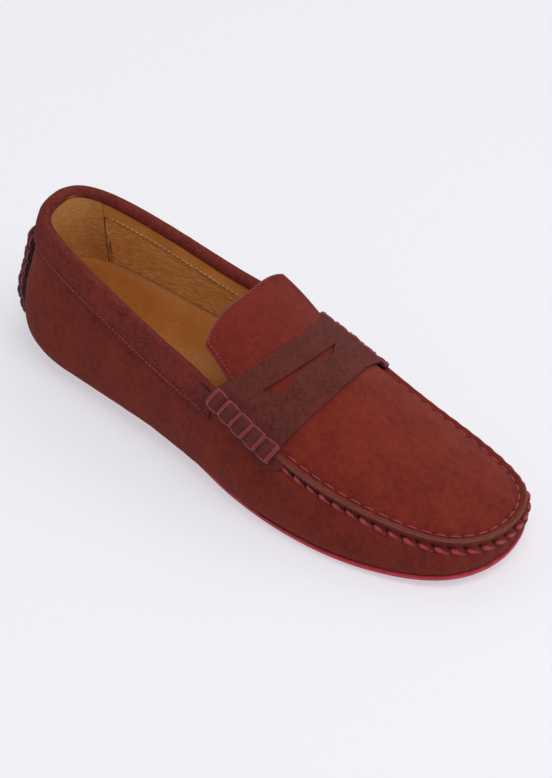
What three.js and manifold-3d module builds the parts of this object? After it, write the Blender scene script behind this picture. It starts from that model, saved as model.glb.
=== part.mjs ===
// A driving-style penny loafer, right shoe, in millimetres.
// x runs from heel to toe, y towards the inner (medial) side of the foot, z up.
// A one-piece moccasin upper wraps under the foot, an apron is sewn into its top, a slotted saddle
// strap crosses the instep, and laced rolls of leather cover the strap's ends and the heel seam.
import * as THREE from "three";
import { mergeVertices } from "three/addons/utils/BufferGeometryUtils.js";
import Module from "manifold-3d";

const wasm = await Module();
wasm.setup();

// ---------- driving dimensions ----------
const SOLE_LENGTH = 264; // feather line, heel to toe
const SOLE_WIDTH = 92; // feather line, across the ball
const COLLAR_HEIGHT = 75; // top of the upper at the heel
const TOE_SPRING = 3.5; // rise of the sole under the toe
const CLEAR = 0.3; // gap between touching pieces
const BAND_CLEAR = 0.4; // gap under the folded collar band

const UPPER_THICK = 1.4;
const APRON_THICK = 1.2;
const STRAP_THICK = 1.2;
const LINING_THICK = 0.9;
const PADDING_THICK = 2.2;
const COUNTER_THICK = 1.6;
const BAND_THICK = 1.1; // collar band leather
const BAND_WIDTH = 13; // collar band, on the outside
const BAND_INSIDE = 5; // collar band, turned down inside
const BAND_ROUND = 1; // extra height of the fold over the rim
const APRON_OVERLAP = 1; // apron edge past the rim of the upper

const SHEET_THICK = 2.2; // rubber outsole
const STUD_HEIGHT = 2.0;
const STUD_RADIUS = 3.5;
const STUD_PITCH = 15;
const STUD_MARGIN = 5; // rubber round the outermost studs
const SOLE_MARGIN = 1.0; // outsole edge past the feather line
const BOARD_THICK = 1.8;
const FOAM_THICK = 2.5;
const SOCK_THICK = 1.0;
const FOOTBED_INSET = 4.5; // footbed edge inside the feather line

const STRAP_ARCH = 14; // rise of the instep above the throat corners
const STRAP_LEAN = 13; // how far the instep crest lies ahead of the corners
const APRON_CROWN = 4;
const STRAP_SHARE = 0.23; // of the apron's length, at the crest
const STRAP_FLARE = 0.06; // added at the outer end
const STRAP_INSET = 0.055; // of the width, at each end
const SLOT_PLACE = 0.41; // middle of the slot across the strap, from the outer end
const SLOT_LENGTH = 47;
const SLOT_WIDTH = 6;
const TONGUE_RISE = 3; // crown of the tongue's free end
const TONGUE_CORNER = 0.16; // share of the length rounded off at the free corners

const ROLL_WIDTH = 9;
const ROLL_THICK = 4;
const PATCH_WIDTH = 6; // backing patch under a side roll
const PATCH_THICK = 1.1;
const PATCH_TOP = 2; // its upper edge, below the rim
const SIDE_PILLOWS = 5;
const HEEL_PILLOWS = 6;
const HEEL_ROLL_WIDTH = 12;
const STAY_THICK = 1.1;
const STAY_WIDTH = 15;
const SEAM_CORD = 1.1; // thread diameters
const LACING_CORD = 1.0;
const STITCH_THREAD = 0.6;

// Stations round the shoe: heel back, outer side forwards, toe, inner side back.
// Feather line x, y; top edge x, y, z; lower reach and lift share, upper reach and drop share.
const LAST_LENGTH = 264;
const LAST_WIDTH = 92;
const LAST_HEIGHT = 75;
const STATIONS = [
  [6, 1, 5, 1, 76, 19, 0.16, 3, 0.45],
  [11, -15, 9, -17, 75, 18, 0.16, 3, 0.45],
  [32, -25, 35, -25, 70, 13, 0.12, 4, 0.45],
  [67, -27, 69, -30, 62, 12, 0.1, 5, 0.45],
  [102, -32, 101, -35, 55, 11, 0.1, 5, 0.4],
  [137, -42, 131, -40, 52, 10, 0.1, 4, 0.4],
  [168, -49, 159, -45, 42, 8, 0.12, 5, 0.35],
  [199, -50, 190, -45, 32, 5, 0.2, 5, 0.3],
  [228, -45, 221, -41, 27, 3, 0.3, 5, 0.25],
  [255, -33, 248, -31, 23, 2, 0.4, 4, 0.2],
  [266, -11, 262, -12, 22, 1, 0.4, 3, 0.2],
  [264, 13, 262, 12, 22, 1, 0.4, 3, 0.2],
  [254, 32, 251, 28, 21, 2, 0.4, 4, 0.2],
  [229, 41, 225, 35, 23, 3, 0.3, 5, 0.25],
  [199, 42, 197, 35, 29, 5, 0.2, 5, 0.3],
  [169, 35, 167, 34, 40, 8, 0.12, 5, 0.35],
  [137, 28, 137, 32, 52, 10, 0.1, 4, 0.4],
  [102, 24, 103, 30, 56, 11, 0.1, 5, 0.4],
  [67, 24, 67, 29, 62, 12, 0.1, 5, 0.45],
  [32, 25, 31, 27, 69, 13, 0.12, 4, 0.45],
  [11, 17, 7, 19, 74, 18, 0.16, 3, 0.45],
];
const COUNT = STATIONS.length;
const PER_STATION = 4;
const RING = COUNT * PER_STATION; // samples round the shoe
const THROAT_OUT = 5; // station where the outer roll starts
const THROAT_IN = COUNT - THROAT_OUT;
const TOE_OUT = 9.5; // corners where the apron's sides become its toe arc
const TOE_IN = COUNT - TOE_OUT;
const ROLL_STATIONS = 1.5; // length of a side roll's seat
const SOLE_TOP = SHEET_THICK + STUD_HEIGHT + CLEAR; // underside of the upper

// ---------- the form ----------
const V = (x, y, z) => new THREE.Vector3(x, y, z);
const UP = V(0, 0, 1);
const sx = SOLE_LENGTH / LAST_LENGTH;
const sy = SOLE_WIDTH / LAST_WIDTH;
const sz = COLLAR_HEIGHT / LAST_HEIGHT;

// Closed uniform cubic B-spline through one column of the stations.
function column(k, u) {
  const i = Math.floor(u);
  const f = u - i;
  const weights = [
    (1 - f) ** 3,
    3 * f ** 3 - 6 * f * f + 4,
    -3 * f ** 3 + 3 * f * f + 3 * f + 1,
    f ** 3,
  ];
  let sum = 0;
  weights.forEach((w, n) => (sum += (w / 6) * STATIONS[(((i + n - 1) % COUNT) + COUNT) % COUNT][k]));
  return sum;
}

const springStart = 0.74 * SOLE_LENGTH;
const spring = (x) =>
  SOLE_TOP + TOE_SPRING * (Math.max(0, x - springStart) / (SOLE_LENGTH - springStart)) ** 2;

function feather(u) {
  const x = column(0, u) * sx;
  return V(x, column(1, u) * sy, spring(x));
}

const topEdge = (u) => V(column(2, u) * sx, column(3, u) * sy, column(4, u) * sz);

// Horizontal direction that leaves the shoe at station u.
function outward(u) {
  const step = 0.01;
  const along = feather(u + step).sub(feather(u - step)).add(topEdge(u + step)).sub(topEdge(u - step));
  return V(along.y, -along.x, 0).normalize();
}

// Side of the upper: a cubic from the feather line (v 0) to the top edge (v 1).
function side(u, v) {
  const low = feather(u);
  const high = topEdge(u);
  const out = outward(u);
  const rise = high.z - low.z;
  const a = low.clone().addScaledVector(out, column(5, u)).addScaledVector(UP, rise * column(6, u));
  const b = high.clone().addScaledVector(out, column(7, u)).addScaledVector(UP, -rise * column(8, u));
  const w = 1 - v;
  return low.multiplyScalar(w ** 3)
    .addScaledVector(a, 3 * w * w * v)
    .addScaledVector(b, 3 * w * v * v)
    .addScaledVector(high, v ** 3);
}

// The same point moved along the surface's outward normal.
function wall(u, v, offset) {
  const step = 0.01;
  const du = side(u + step, v).sub(side(u - step, v));
  const dv = side(u, Math.min(1, v + step)).sub(side(u, Math.max(0, v - step)));
  return side(u, v).addScaledVector(du.cross(dv).normalize(), offset);
}

// Height share that lies a distance below the rim, measured along the side.
const below = (u, distance) => 1 - distance / (3 * column(8, u) * (topEdge(u).z - feather(u).z));

// Height share of the collar band's lower edge; the same row runs on round the toe.
const bandLine = (u) => Math.max(0.7, below(u, BAND_WIDTH));

// Height rows that every wall layer shares: 0 to LOW under the band line, then up to LOW + HIGH.
const LOW = 4;
const HIGH = 2;
function rowHeight(u, row) {
  const line = bandLine(u);
  return row <= LOW ? (line * row) / LOW : line + ((1 - line) * (row - LOW)) / HIGH;
}

// ---------- solids from grids ----------
function solidFrom(points, faces) {
  const geometry = new THREE.BufferGeometry();
  geometry.setAttribute("position", new THREE.Float32BufferAttribute(points.flatMap((p) => p.toArray()), 3));
  geometry.setIndex(faces);
  let volume = 0;
  for (let i = 0; i < faces.length; i += 3) {
    const [a, b, c] = [points[faces[i]], points[faces[i + 1]], points[faces[i + 2]]];
    volume += a.dot(b.clone().cross(c));
  }
  if (volume < 0) {
    for (let i = 0; i < faces.length; i += 3) [faces[i + 1], faces[i + 2]] = [faces[i + 2], faces[i + 1]];
    geometry.setIndex(faces);
  }
  return geometry;
}

// A sheet of leather, foam or board: face(i, j, 0) is one side and face(i, j, 1) the other.
function sheet(across, along, face) {
  const points = [];
  const faces = [];
  const index = (i, j, s) => (i * (along + 1) + j) * 2 + s;
  const quad = (a, b, c, d) => faces.push(a, b, c, a, c, d);
  for (let i = 0; i <= across; i++)
    for (let j = 0; j <= along; j++) points.push(face(i, j, 0), face(i, j, 1));
  for (let i = 0; i < across; i++)
    for (let j = 0; j < along; j++) {
      quad(index(i, j, 0), index(i + 1, j, 0), index(i + 1, j + 1, 0), index(i, j + 1, 0));
      quad(index(i, j, 1), index(i, j + 1, 1), index(i + 1, j + 1, 1), index(i + 1, j, 1));
    }
  for (let i = 0; i < across; i++) {
    quad(index(i, 0, 1), index(i + 1, 0, 1), index(i + 1, 0, 0), index(i, 0, 0));
    quad(index(i, along, 0), index(i + 1, along, 0), index(i + 1, along, 1), index(i, along, 1));
  }
  for (let j = 0; j < along; j++) {
    quad(index(0, j, 0), index(0, j + 1, 0), index(0, j + 1, 1), index(0, j, 1));
    quad(index(across, j, 1), index(across, j + 1, 1), index(across, j + 1, 0), index(across, j, 0));
  }
  return solidFrom(points, faces);
}

// A closed section carried along a path: section(i) returns one ring of points.
function sweep(steps, section) {
  const rings = Array.from({ length: steps + 1 }, (_, i) => section(i));
  const n = rings[0].length;
  const faces = [];
  for (let i = 0; i < steps; i++)
    for (let k = 0; k < n; k++) {
      const [a, b] = [i * n + k, i * n + ((k + 1) % n)];
      faces.push(a, b, b + n, a, b + n, a + n);
    }
  for (let k = 1; k < n - 1; k++) faces.push(0, k + 1, k, steps * n, steps * n + k, steps * n + k + 1);
  return solidFrom(rings.flat(), faces);
}

// Rows of a closed ring, bridged across the shoe at both ends, as a bowl or a plate is.
function ringSolid(rows) {
  const faces = [];
  for (let j = 0; j < rows.length - 1; j++)
    for (let i = 0; i < RING; i++) {
      const [a, b] = [j * RING + i, j * RING + ((i + 1) % RING)];
      faces.push(a, b, b + RING, a, b + RING, a + RING);
    }
  const bridge = (base, flip) => {
    for (let i = 0; i < RING / 2; i++) {
      const [a, b] = [base + i, base + i + 1];
      const [c, d] = [base + ((RING - i) % RING), base + (RING - i - 1)];
      const tris = [[a, b, d], [a, d, c]];
      for (const t of tris)
        if (new Set(t).size === 3) faces.push(...(flip ? [t[0], t[2], t[1]] : t));
    }
  };
  bridge(0, true);
  bridge((rows.length - 1) * RING, false);
  return solidFrom(rows.flat(), faces);
}

const ringRow = (point) => Array.from({ length: RING }, (_, i) => point(i / PER_STATION));

// The feather line drawn in by inset, at a height above the underside of the upper.
function outline(inset, height) {
  return ringRow((u) => {
    const p = feather(u);
    const z = p.z + height;
    return p.addScaledVector(outward(u), -inset).setZ(z);
  });
}

// A flat layer under the foot.
const plate = (inset, bottom, thickness) =>
  ringSolid([outline(inset, bottom), outline(inset, bottom + thickness)]);

// Round thread along a list of points.
function thread(points, diameter, steps, sides = 6) {
  const section = new THREE.Shape();
  for (let k = 0; k < sides; k++) {
    const angle = (2 * Math.PI * k) / sides;
    const [x, y] = [(Math.cos(angle) * diameter) / 2, (Math.sin(angle) * diameter) / 2];
    k ? section.lineTo(x, y) : section.moveTo(x, y);
  }
  section.closePath();
  const path = new THREE.CatmullRomCurve3(points, false, "centripetal");
  return new THREE.ExtrudeGeometry(section, { steps, extrudePath: path, bevelEnabled: false });
}

function manifoldOf(geometry) {
  const bare = geometry.index ? geometry.toNonIndexed() : geometry.clone();
  bare.deleteAttribute("normal");
  bare.deleteAttribute("uv");
  const merged = mergeVertices(bare, 1e-4);
  return new wasm.Manifold(
    new wasm.Mesh({
      numProp: 3,
      vertProperties: merged.attributes.position.array,
      triVerts: new Uint32Array(merged.index.array),
    }),
  );
}

function geometryOf(manifold) {
  const mesh = manifold.getMesh();
  const geometry = new THREE.BufferGeometry();
  const positions = new Float32Array(mesh.numVert * 3);
  for (let i = 0; i < mesh.numVert; i++)
    positions.set(mesh.vertProperties.subarray(i * mesh.numProp, i * mesh.numProp + 3), i * 3);
  geometry.setAttribute("position", new THREE.BufferAttribute(positions, 3));
  geometry.setIndex(new THREE.BufferAttribute(mesh.triVerts, 1));
  return geometry;
}

// ---------- materials ----------
const material = (color, roughness) => new THREE.MeshStandardMaterial({ color, roughness, metalness: 0 });
const suede = material(0x6d2a26, 0.95);
const apronSuede = material(0x7c322b, 0.95);
const strapSuede = material(0x64302b, 0.95);
const collarSuede = material(0x702c2c, 0.95);
const stayLeather = material(0x3b211d, 0.8);
const tanLeather = material(0xb9793a, 0.6);
const sockLeather = material(0x9a5f26, 0.6);
const rubber = material(0xa82c3c, 0.7);
const cord = material(0xb0404e, 0.6);
const fineThread = material(0xa03a48, 0.7);
const creamThread = material(0xd9b98c, 0.7);
const foam = material(0xd8cfc0, 0.9);
const board = material(0x8c7a60, 0.9);

const shoe = new THREE.Group();
function add(name, geometry, finish) {
  const mesh = new THREE.Mesh(geometry, finish.clone());
  mesh.name = name;
  shoe.add(mesh);
}

// ---------- outsole: rubber sheet with moulded studs under the heel and forefoot ----------
function outsole() {
  let solid = manifoldOf(plate(-SOLE_MARGIN, -CLEAR - SHEET_THICK, SHEET_THICK));
  const rowStep = (STUD_PITCH * Math.sqrt(3)) / 2;
  const heelEnd = 0.3 * SOLE_LENGTH;
  const ballStart = 0.52 * SOLE_LENGTH;
  const rooted = 1; // how far a stud reaches into the sheet
  const edge = STUD_RADIUS + STUD_MARGIN;
  for (let row = 1; row * rowStep < SOLE_LENGTH; row++) {
    const x = row * rowStep + STUD_MARGIN / 2;
    if (x > heelEnd && x < ballStart) continue;
    const outer = edgeAt(x, -1) + edge;
    const inner = edgeAt(x, 1) - edge;
    const shift = (row % 2) * STUD_PITCH * 0.5;
    for (let y = -5 * STUD_PITCH + shift; y < 5 * STUD_PITCH; y += STUD_PITCH) {
      if (!(y > outer && y < inner)) continue;
      const stud = new THREE.CylinderGeometry(STUD_RADIUS, STUD_RADIUS, STUD_HEIGHT + rooted, 6);
      stud.rotateX(Math.PI / 2);
      const sheetUnder = spring(x) - CLEAR - SHEET_THICK;
      stud.translate(x, y, sheetUnder + (rooted - STUD_HEIGHT) / 2);
      solid = solid.add(manifoldOf(stud));
    }
  }
  return geometryOf(solid);
}

// Feather line's y at a given x, on the outer (-1) or inner (1) side; not a number past the ends.
function edgeAt(x, sign) {
  const half = COUNT / 2;
  for (let i = 0; i < RING / 2; i++) {
    const u = (k) => (sign < 0 ? k : COUNT - k);
    const [a, b] = [feather(u((i * half) / (RING / 2))), feather(u(((i + 1) * half) / (RING / 2)))];
    if ((a.x - x) * (b.x - x) <= 0 && b.x > a.x) return a.y + ((b.y - a.y) * (x - a.x)) / (b.x - a.x);
  }
  return NaN;
}

// ---------- upper: one piece, wrapped under the foot, open at the top ----------
function moccasinUpper() {
  const rows = [];
  for (let row = 0; row <= LOW + HIGH; row++) rows.push(ringRow((u) => wall(u, rowHeight(u, row), 0)));
  for (let row = LOW + HIGH; row > 0; row--)
    rows.push(ringRow((u) => wall(u, rowHeight(u, row), -UPPER_THICK)));
  rows.push(outline(UPPER_THICK, UPPER_THICK));
  return ringSolid(rows);
}

// A layer on the upper between two stations and two rows, from one offset to another.
function layer(from, to, lowRow, highRow, near, far) {
  const steps = Math.round((to - from) * PER_STATION);
  return sheet(steps, highRow - lowRow, (i, j, s) => {
    const u = from + (i * (to - from)) / steps;
    const row = lowRow + j;
    return wall(u, rowHeight(u, row), s ? far(row) : near(row));
  });
}

// ---------- inside of the quarters: padding, lining and their offsets from the upper ----------
const paddingNear = -UPPER_THICK - CLEAR;
const RIM_SHARE = 0.35; // padding left at the rim
const padding = (row) => PADDING_THICK * (1 - ((1 - RIM_SHARE) * Math.max(0, row - LOW)) / HIGH);
const liningNear = (row) => paddingNear - padding(row) - CLEAR;
const liningFar = (row) => liningNear(row) - LINING_THICK;
const BACK_SEAM = 2; // station of the seam between heel lining and quarter linings
const SEAM_GAP = 0.02; // in stations

const quarterLining = (from, to) => layer(from, to, 1, LOW + HIGH, liningNear, liningFar);

const heelCounter = () =>
  layer(-2.5, 2.5, 1, LOW - 1, () => paddingNear, () => paddingNear - COUNTER_THICK);

const collarPadding = () =>
  layer(-4.5, 4.5, LOW, LOW + HIGH, () => paddingNear, (row) => paddingNear - padding(row));

const vampLining = () =>
  layer(THROAT_OUT + 0.25, THROAT_IN - 0.25, 1, LOW + 1, () => paddingNear, () => paddingNear - LINING_THICK);

// ---------- collar band: folded over the rim, outside to inside ----------
function collarBand() {
  const [from, to] = [-THROAT_OUT + 0.25, THROAT_OUT - 0.25];
  const rim = LOW + HIGH;
  const inner = liningFar(rim) - BAND_CLEAR;
  const crest = (u, lift) => wall(u, 1, inner / 2).addScaledVector(UP, lift);
  const turned = (u) => below(u, BAND_INSIDE);
  return sheet(Math.round((to - from) * PER_STATION), 5, (i, j, s) => {
    const u = from + i / PER_STATION;
    const out = BAND_CLEAR + (s ? BAND_THICK : 0);
    if (j < 3) return wall(u, bandLine(u) + ((1 - bandLine(u)) * j) / 2, out);
    if (j === 3) return crest(u, out + BAND_ROUND);
    const flap = inner - (s ? BAND_THICK : 0);
    return j === 4 ? wall(u, 1, flap) : wall(u, turned(u), flap - PADDING_THICK / 2);
  });
}

// ---------- apron: a Coons patch over the front of the top edge ----------
const APRON_ROWS = Math.round((TOE_OUT - THROAT_OUT) * PER_STATION);
const APRON_COLUMNS = Math.round((TOE_IN - TOE_OUT) * PER_STATION);
const apronEdge = (u) => topEdge(u).addScaledVector(outward(u), APRON_OVERLAP);
const bell = (t) => 4 * t * (1 - t);

// Instep line across the throat; t runs from the outer side (0) to the inner (1).
function throatLine(t) {
  const p = apronEdge(THROAT_OUT).lerp(apronEdge(THROAT_IN), t);
  return p.add(V(STRAP_LEAN, 0, STRAP_ARCH).multiplyScalar(bell(t)));
}

function apronPoint(s, t) {
  const outer = apronEdge(THROAT_OUT + (TOE_OUT - THROAT_OUT) * s);
  const inner = apronEdge(THROAT_IN - (THROAT_IN - TOE_IN) * s);
  const toe = apronEdge(TOE_OUT + (TOE_IN - TOE_OUT) * t);
  const corners = throatLine(0).multiplyScalar((1 - s) * (1 - t))
    .addScaledVector(throatLine(1), (1 - s) * t)
    .addScaledVector(apronEdge(TOE_OUT), s * (1 - t))
    .addScaledVector(apronEdge(TOE_IN), s * t);
  const crown = APRON_CROWN * bell(t) * bell(s);
  return outer.multiplyScalar(1 - t)
    .addScaledVector(inner, t)
    .addScaledVector(throatLine(t), 1 - s)
    .addScaledVector(toe, s)
    .sub(corners)
    .addScaledVector(UP, crown);
}

// Apron point moved along the apron's own normal.
function apronAt(s, t, offset) {
  const step = 0.01;
  const clamp = (x) => Math.min(1, Math.max(0, x));
  const ds = apronPoint(clamp(s + step), t).sub(apronPoint(clamp(s - step), t));
  const dt = apronPoint(s, clamp(t + step)).sub(apronPoint(s, clamp(t - step)));
  const normal = ds.cross(dt).normalize();
  return apronPoint(s, t).addScaledVector(normal, offset);
}

const apronTop = CLEAR + APRON_THICK;

function apronSheet(fromRow, toRow, fromColumn, toColumn, low, high) {
  return sheet(toRow - fromRow, toColumn - fromColumn, (i, j, s) =>
    apronAt((fromRow + i) / APRON_ROWS, (fromColumn + j) / APRON_COLUMNS, s ? high : low));
}

// ---------- saddle strap: over the instep and down both sides, with the coin slot ----------
const strapLow = apronTop + CLEAR;
const CUT_DEPTH = 24; // the slot cutter, through the arched strap
const STRAP_ROWS = 5;

// Share of the apron's length that the strap covers: narrowest over the crest of the instep.
const strapReach = (t) => STRAP_SHARE + STRAP_FLARE * (1 - t) * Math.abs(2 * t - 1);

function saddleStrap() {
  const sheetSolid = sheet(STRAP_ROWS, APRON_COLUMNS, (i, j, s) => {
    const t = STRAP_INSET + ((1 - 2 * STRAP_INSET) * j) / APRON_COLUMNS;
    return apronAt((strapReach(t) * i) / STRAP_ROWS, t, strapLow + (s ? STRAP_THICK : 0));
  });
  return geometryOf(manifoldOf(sheetSolid).subtract(manifoldOf(coinSlot())));
}

// The slot has a straight rear edge and two hollows in front, either side of a middle point.
function coinSlot() {
  const outline = new THREE.Shape();
  const [half, depth] = [SLOT_LENGTH / 2, SLOT_WIDTH / 2];
  outline.moveTo(half, depth);
  outline.lineTo(-half, depth);
  outline.lineTo(-half * 0.85, -depth * 0.6);
  outline.lineTo(-half * 0.45, -depth);
  outline.lineTo(0, depth * 0.5);
  outline.lineTo(half * 0.45, -depth);
  outline.lineTo(half * 0.85, -depth * 0.6);
  outline.closePath();
  const row = STRAP_SHARE / 2;
  const centre = apronAt(row, SLOT_PLACE, strapLow);
  const normal = centre.clone().sub(apronAt(row, SLOT_PLACE, 0)).normalize();
  const across = V(0, 1, 0);
  const back = normal.clone().cross(across);
  const cutter = new THREE.ExtrudeGeometry(outline, { depth: CUT_DEPTH, bevelEnabled: false });
  cutter.translate(0, 0, -CUT_DEPTH / 2);
  cutter.applyMatrix4(new THREE.Matrix4().makeBasis(across, back, normal).setPosition(centre));
  return cutter;
}

// ---------- tongue: a flap behind the strap, bending at the strap's rear edge ----------
// It runs from the throat line (a 0) to its free end (a 1), and from the outer side (t 0) to the inner.
const TONGUE_COLUMNS = 8;
const TONGUE_ROWS = 5;
const TONGUE_SIDE = 0.07; // share of the throat left clear at each side
const TONGUE_TIP_OUT = V(117 * sx, -33 * sy, 73 * sz);
const TONGUE_TIP_IN = V(119 * sx, 25 * sy, 75 * sz);
const TONGUE_GAP = 0.8; // behind the edge of the apron

function tonguePoint(a, t) {
  const across = TONGUE_SIDE + (1 - 2 * TONGUE_SIDE) * t;
  const root = throatLine(across).add(V(-TONGUE_GAP, 0, CLEAR));
  const crown = V(TONGUE_RISE, 0, TONGUE_RISE).multiplyScalar(bell(t));
  const tip = TONGUE_TIP_OUT.clone().lerp(TONGUE_TIP_IN, t).add(crown);
  const reach = 1 - TONGUE_CORNER * Math.abs(2 * t - 1) ** 4;
  return root.lerp(tip, a * reach);
}

function tongueAt(a, t, offset) {
  const step = 0.02;
  const clamp = (x) => Math.min(1, Math.max(0, x));
  const da = tonguePoint(clamp(a + step), t).sub(tonguePoint(clamp(a - step), t));
  const dt = tonguePoint(a, clamp(t + step)).sub(tonguePoint(a, clamp(t - step)));
  return tonguePoint(a, t).addScaledVector(dt.cross(da).normalize(), offset);
}

const tongueSheet = (low, high, edge) =>
  sheet(TONGUE_ROWS, TONGUE_COLUMNS, (i, j, s) =>
    tongueAt((i / TONGUE_ROWS) * (1 - edge), edge / 2 + (j / TONGUE_COLUMNS) * (1 - edge), s ? high : low));

// ---------- laced rolls ----------
// A roll of leather with pillows between its lacing: path(k) gives its middle, out and up there.
function roll(path, width, pillows) {
  const stepsPerPillow = 4;
  const sides = 8;
  return sweep(pillows * stepsPerPillow, (i) => {
    const { middle, across, up } = path(i / (pillows * stepsPerPillow));
    const swell = rollSwell(i / stepsPerPillow);
    return Array.from({ length: sides }, (_, k) => {
      const angle = (2 * Math.PI * (k + 0.5)) / sides;
      return middle.clone()
        .addScaledVector(across, (Math.cos(angle) * width * swell.wide) / 2)
        .addScaledVector(up, (Math.sin(angle) * ROLL_THICK * swell.thick) / 2);
    });
  });
}

const WAIST_WIDE = 0.14; // how much the cord draws a roll in, in width and in thickness
const WAIST_THICK = 0.3;
function rollSwell(pillow) {
  const wave = Math.abs(Math.sin(Math.PI * pillow));
  return { wide: 1 - WAIST_WIDE * (1 - wave), thick: 1 - WAIST_THICK * (1 - wave) };
}

// One continuous cord that crosses the roll in each valley and runs along its edge in between.
function lacing(path, width, pillows) {
  const points = [];
  const end = 0.02; // share of the roll past the first and the last crossing
  const off = LACING_CORD / 2 + 2 * CLEAR;
  for (let k = 0; k <= pillows; k++) {
    const at = end + ((1 - 2 * end) * k) / pillows;
    const { middle, across, up } = path(at);
    const swell = rollSwell(at * pillows);
    const way = k % 2 ? -1 : 1;
    for (const turn of [-90, -54, 0, 54, 90]) {
      const angle = THREE.MathUtils.degToRad(turn * way);
      points.push(middle.clone()
        .addScaledVector(across, Math.sin(angle) * ((width * swell.wide) / 2 + off))
        .addScaledVector(up, Math.cos(angle) * ((ROLL_THICK * swell.thick) / 2 + off)));
    }
  }
  return thread(points, LACING_CORD, pillows * 10);
}

const [PATCH_START, PATCH_END] = [-0.08, 0.96]; // shares of the roll's stations
const [ROLL_START, ROLL_END] = [0.05, 0.9];
const sideStation = (inner, k) => {
  const station = THROAT_OUT + ROLL_STATIONS * k;
  return inner ? COUNT - station : station;
};

function sideRollPath(inner) {
  return (k) => {
    const at = ROLL_START + (ROLL_END - ROLL_START) * k;
    const u = sideStation(inner, at);
    const [s, t] = [(ROLL_STATIONS * at) / (TOE_OUT - THROAT_OUT), inner ? 1 : 0];
    const base = apronAt(s, t, apronTop);
    const up = base.clone().sub(apronAt(s, t, 0)).normalize();
    up.add(wall(u, 1, 1).sub(wall(u, 1, 0))).normalize();
    const along = topEdge(u + 0.05).sub(topEdge(u - 0.05)).normalize();
    const middle = base.addScaledVector(up, CLEAR + ROLL_THICK / 2);
    return { middle, up, across: up.clone().cross(along).normalize() };
  };
}

// A half oval of leather on the side of the upper, under a side roll.
function rollPatch(inner) {
  const [rows, columns] = [12, 2];
  return sheet(rows, columns, (i, j, s) => {
    const k = i / rows;
    const u = sideStation(inner, PATCH_START + (PATCH_END - PATCH_START) * k);
    const reach = PATCH_WIDTH * Math.max(0.4, (1 - Math.abs(2 * k - 1) ** 5) ** 0.5);
    return wall(u, below(u, PATCH_TOP + (reach * j) / columns), s ? CLEAR + PATCH_THICK : CLEAR);
  });
}

const HEEL_ROLL_LOW = 0.12; // height shares of the heel roll's ends
const HEEL_ROLL_HIGH = 0.8;
const [STAY_LOW, STAY_HIGH] = [0.08, 0.82];
const stayTop = CLEAR + STAY_THICK;
function heelRollPath(k) {
  const v = HEEL_ROLL_HIGH + (HEEL_ROLL_LOW - HEEL_ROLL_HIGH) * k;
  const middle = wall(0, v, stayTop + CLEAR + ROLL_THICK / 2);
  const up = middle.clone().sub(wall(0, v, 0)).normalize();
  const across = up.clone().cross(wall(0, v - 0.02, 0).sub(wall(0, v + 0.02, 0)).normalize());
  return { middle, across, up };
}

function heelStay() {
  const [rows, columns] = [8, 4];
  const perStation = side(0.25, 0.4).distanceTo(side(0, 0.4)) / 0.25; // millimetres
  const halfTurn = STAY_WIDTH / 2 / perStation;
  return sheet(rows, columns, (i, j, s) => {
    const v = STAY_LOW + ((STAY_HIGH - STAY_LOW) * i) / rows;
    return wall(halfTurn * ((2 * j) / columns - 1), v, s ? stayTop : CLEAR);
  });
}

// ---------- threads along the seams ----------
function seamCord() {
  const points = [];
  const start = THROAT_OUT + ROLL_STATIONS + 0.25;
  const steps = Math.round((COUNT - 2 * start) * PER_STATION);
  for (let i = 0; i <= steps; i++) {
    const u = start + i / PER_STATION;
    const off = SEAM_CORD / 2 + 2 * CLEAR;
    points.push(apronEdge(u).addScaledVector(outward(u), off).addScaledVector(UP, -CLEAR));
  }
  return thread(points, SEAM_CORD, steps);
}

// A row of stitching on the side of the upper, at the height of the collar band's lower edge.
function bandStitch(from, to, rise, offset) {
  const steps = Math.round((to - from) * PER_STATION);
  const points = [];
  for (let k = 0; k <= steps; k++) {
    const u = from + k / PER_STATION;
    points.push(wall(u, bandLine(u) + rise, offset));
  }
  return thread(points, STITCH_THREAD, steps);
}

const BAND_STITCH_RISE = 0.03; // height share above the edge of the band
// The flats between samples sink deeper on a longer shoe, as the square of its length.
const stitchGap = CLEAR * sx * sx;
const onBand = BAND_CLEAR + BAND_THICK + stitchGap + STITCH_THREAD / 2;
const onLining = liningFar(LOW) - stitchGap - STITCH_THREAD / 2;

const TONGUE_STITCH_IN = 0.12; // share of the tongue's width and length, in from its edge
function tongueStitch() {
  const lift = apronTop + STITCH_THREAD / 2;
  const reach = 1 - TONGUE_STITCH_IN;
  const points = [];
  const side = (t, k) => points.push(tongueAt(0.1 + ((reach - 0.2) * k) / 5, t, lift));
  for (let k = 0; k <= 5; k++) side(TONGUE_STITCH_IN, k);
  for (let k = 1; k <= 8; k++)
    points.push(tongueAt(reach, TONGUE_STITCH_IN + ((reach - TONGUE_STITCH_IN) * k) / 9, lift));
  for (let k = 5; k >= 0; k--) side(reach, k);
  return thread(points, STITCH_THREAD, 20);
}

// ---------- assembly ----------
add("outsole", outsole(), rubber);
add("moccasin_upper", moccasinUpper(), suede);
const boardBase = UPPER_THICK + CLEAR;
const foamBase = boardBase + BOARD_THICK + CLEAR;
add("insole_board", plate(FOOTBED_INSET, boardBase, BOARD_THICK), board);
add("footbed_foam", plate(FOOTBED_INSET, foamBase, FOAM_THICK), foam);
add("footbed_sock", plate(FOOTBED_INSET, foamBase + FOAM_THICK + CLEAR, SOCK_THICK), sockLeather);

add("heel_counter", heelCounter(), board);
add("collar_padding", collarPadding(), foam);
add("heel_lining", quarterLining(-BACK_SEAM, BACK_SEAM), tanLeather);
add("outer_quarter_lining", quarterLining(BACK_SEAM + SEAM_GAP, THROAT_OUT), tanLeather);
add("inner_quarter_lining", quarterLining(-THROAT_OUT, -BACK_SEAM - SEAM_GAP), tanLeather);
add("vamp_lining", vampLining(), tanLeather);
add("collar_band", collarBand(), collarSuede);

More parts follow.
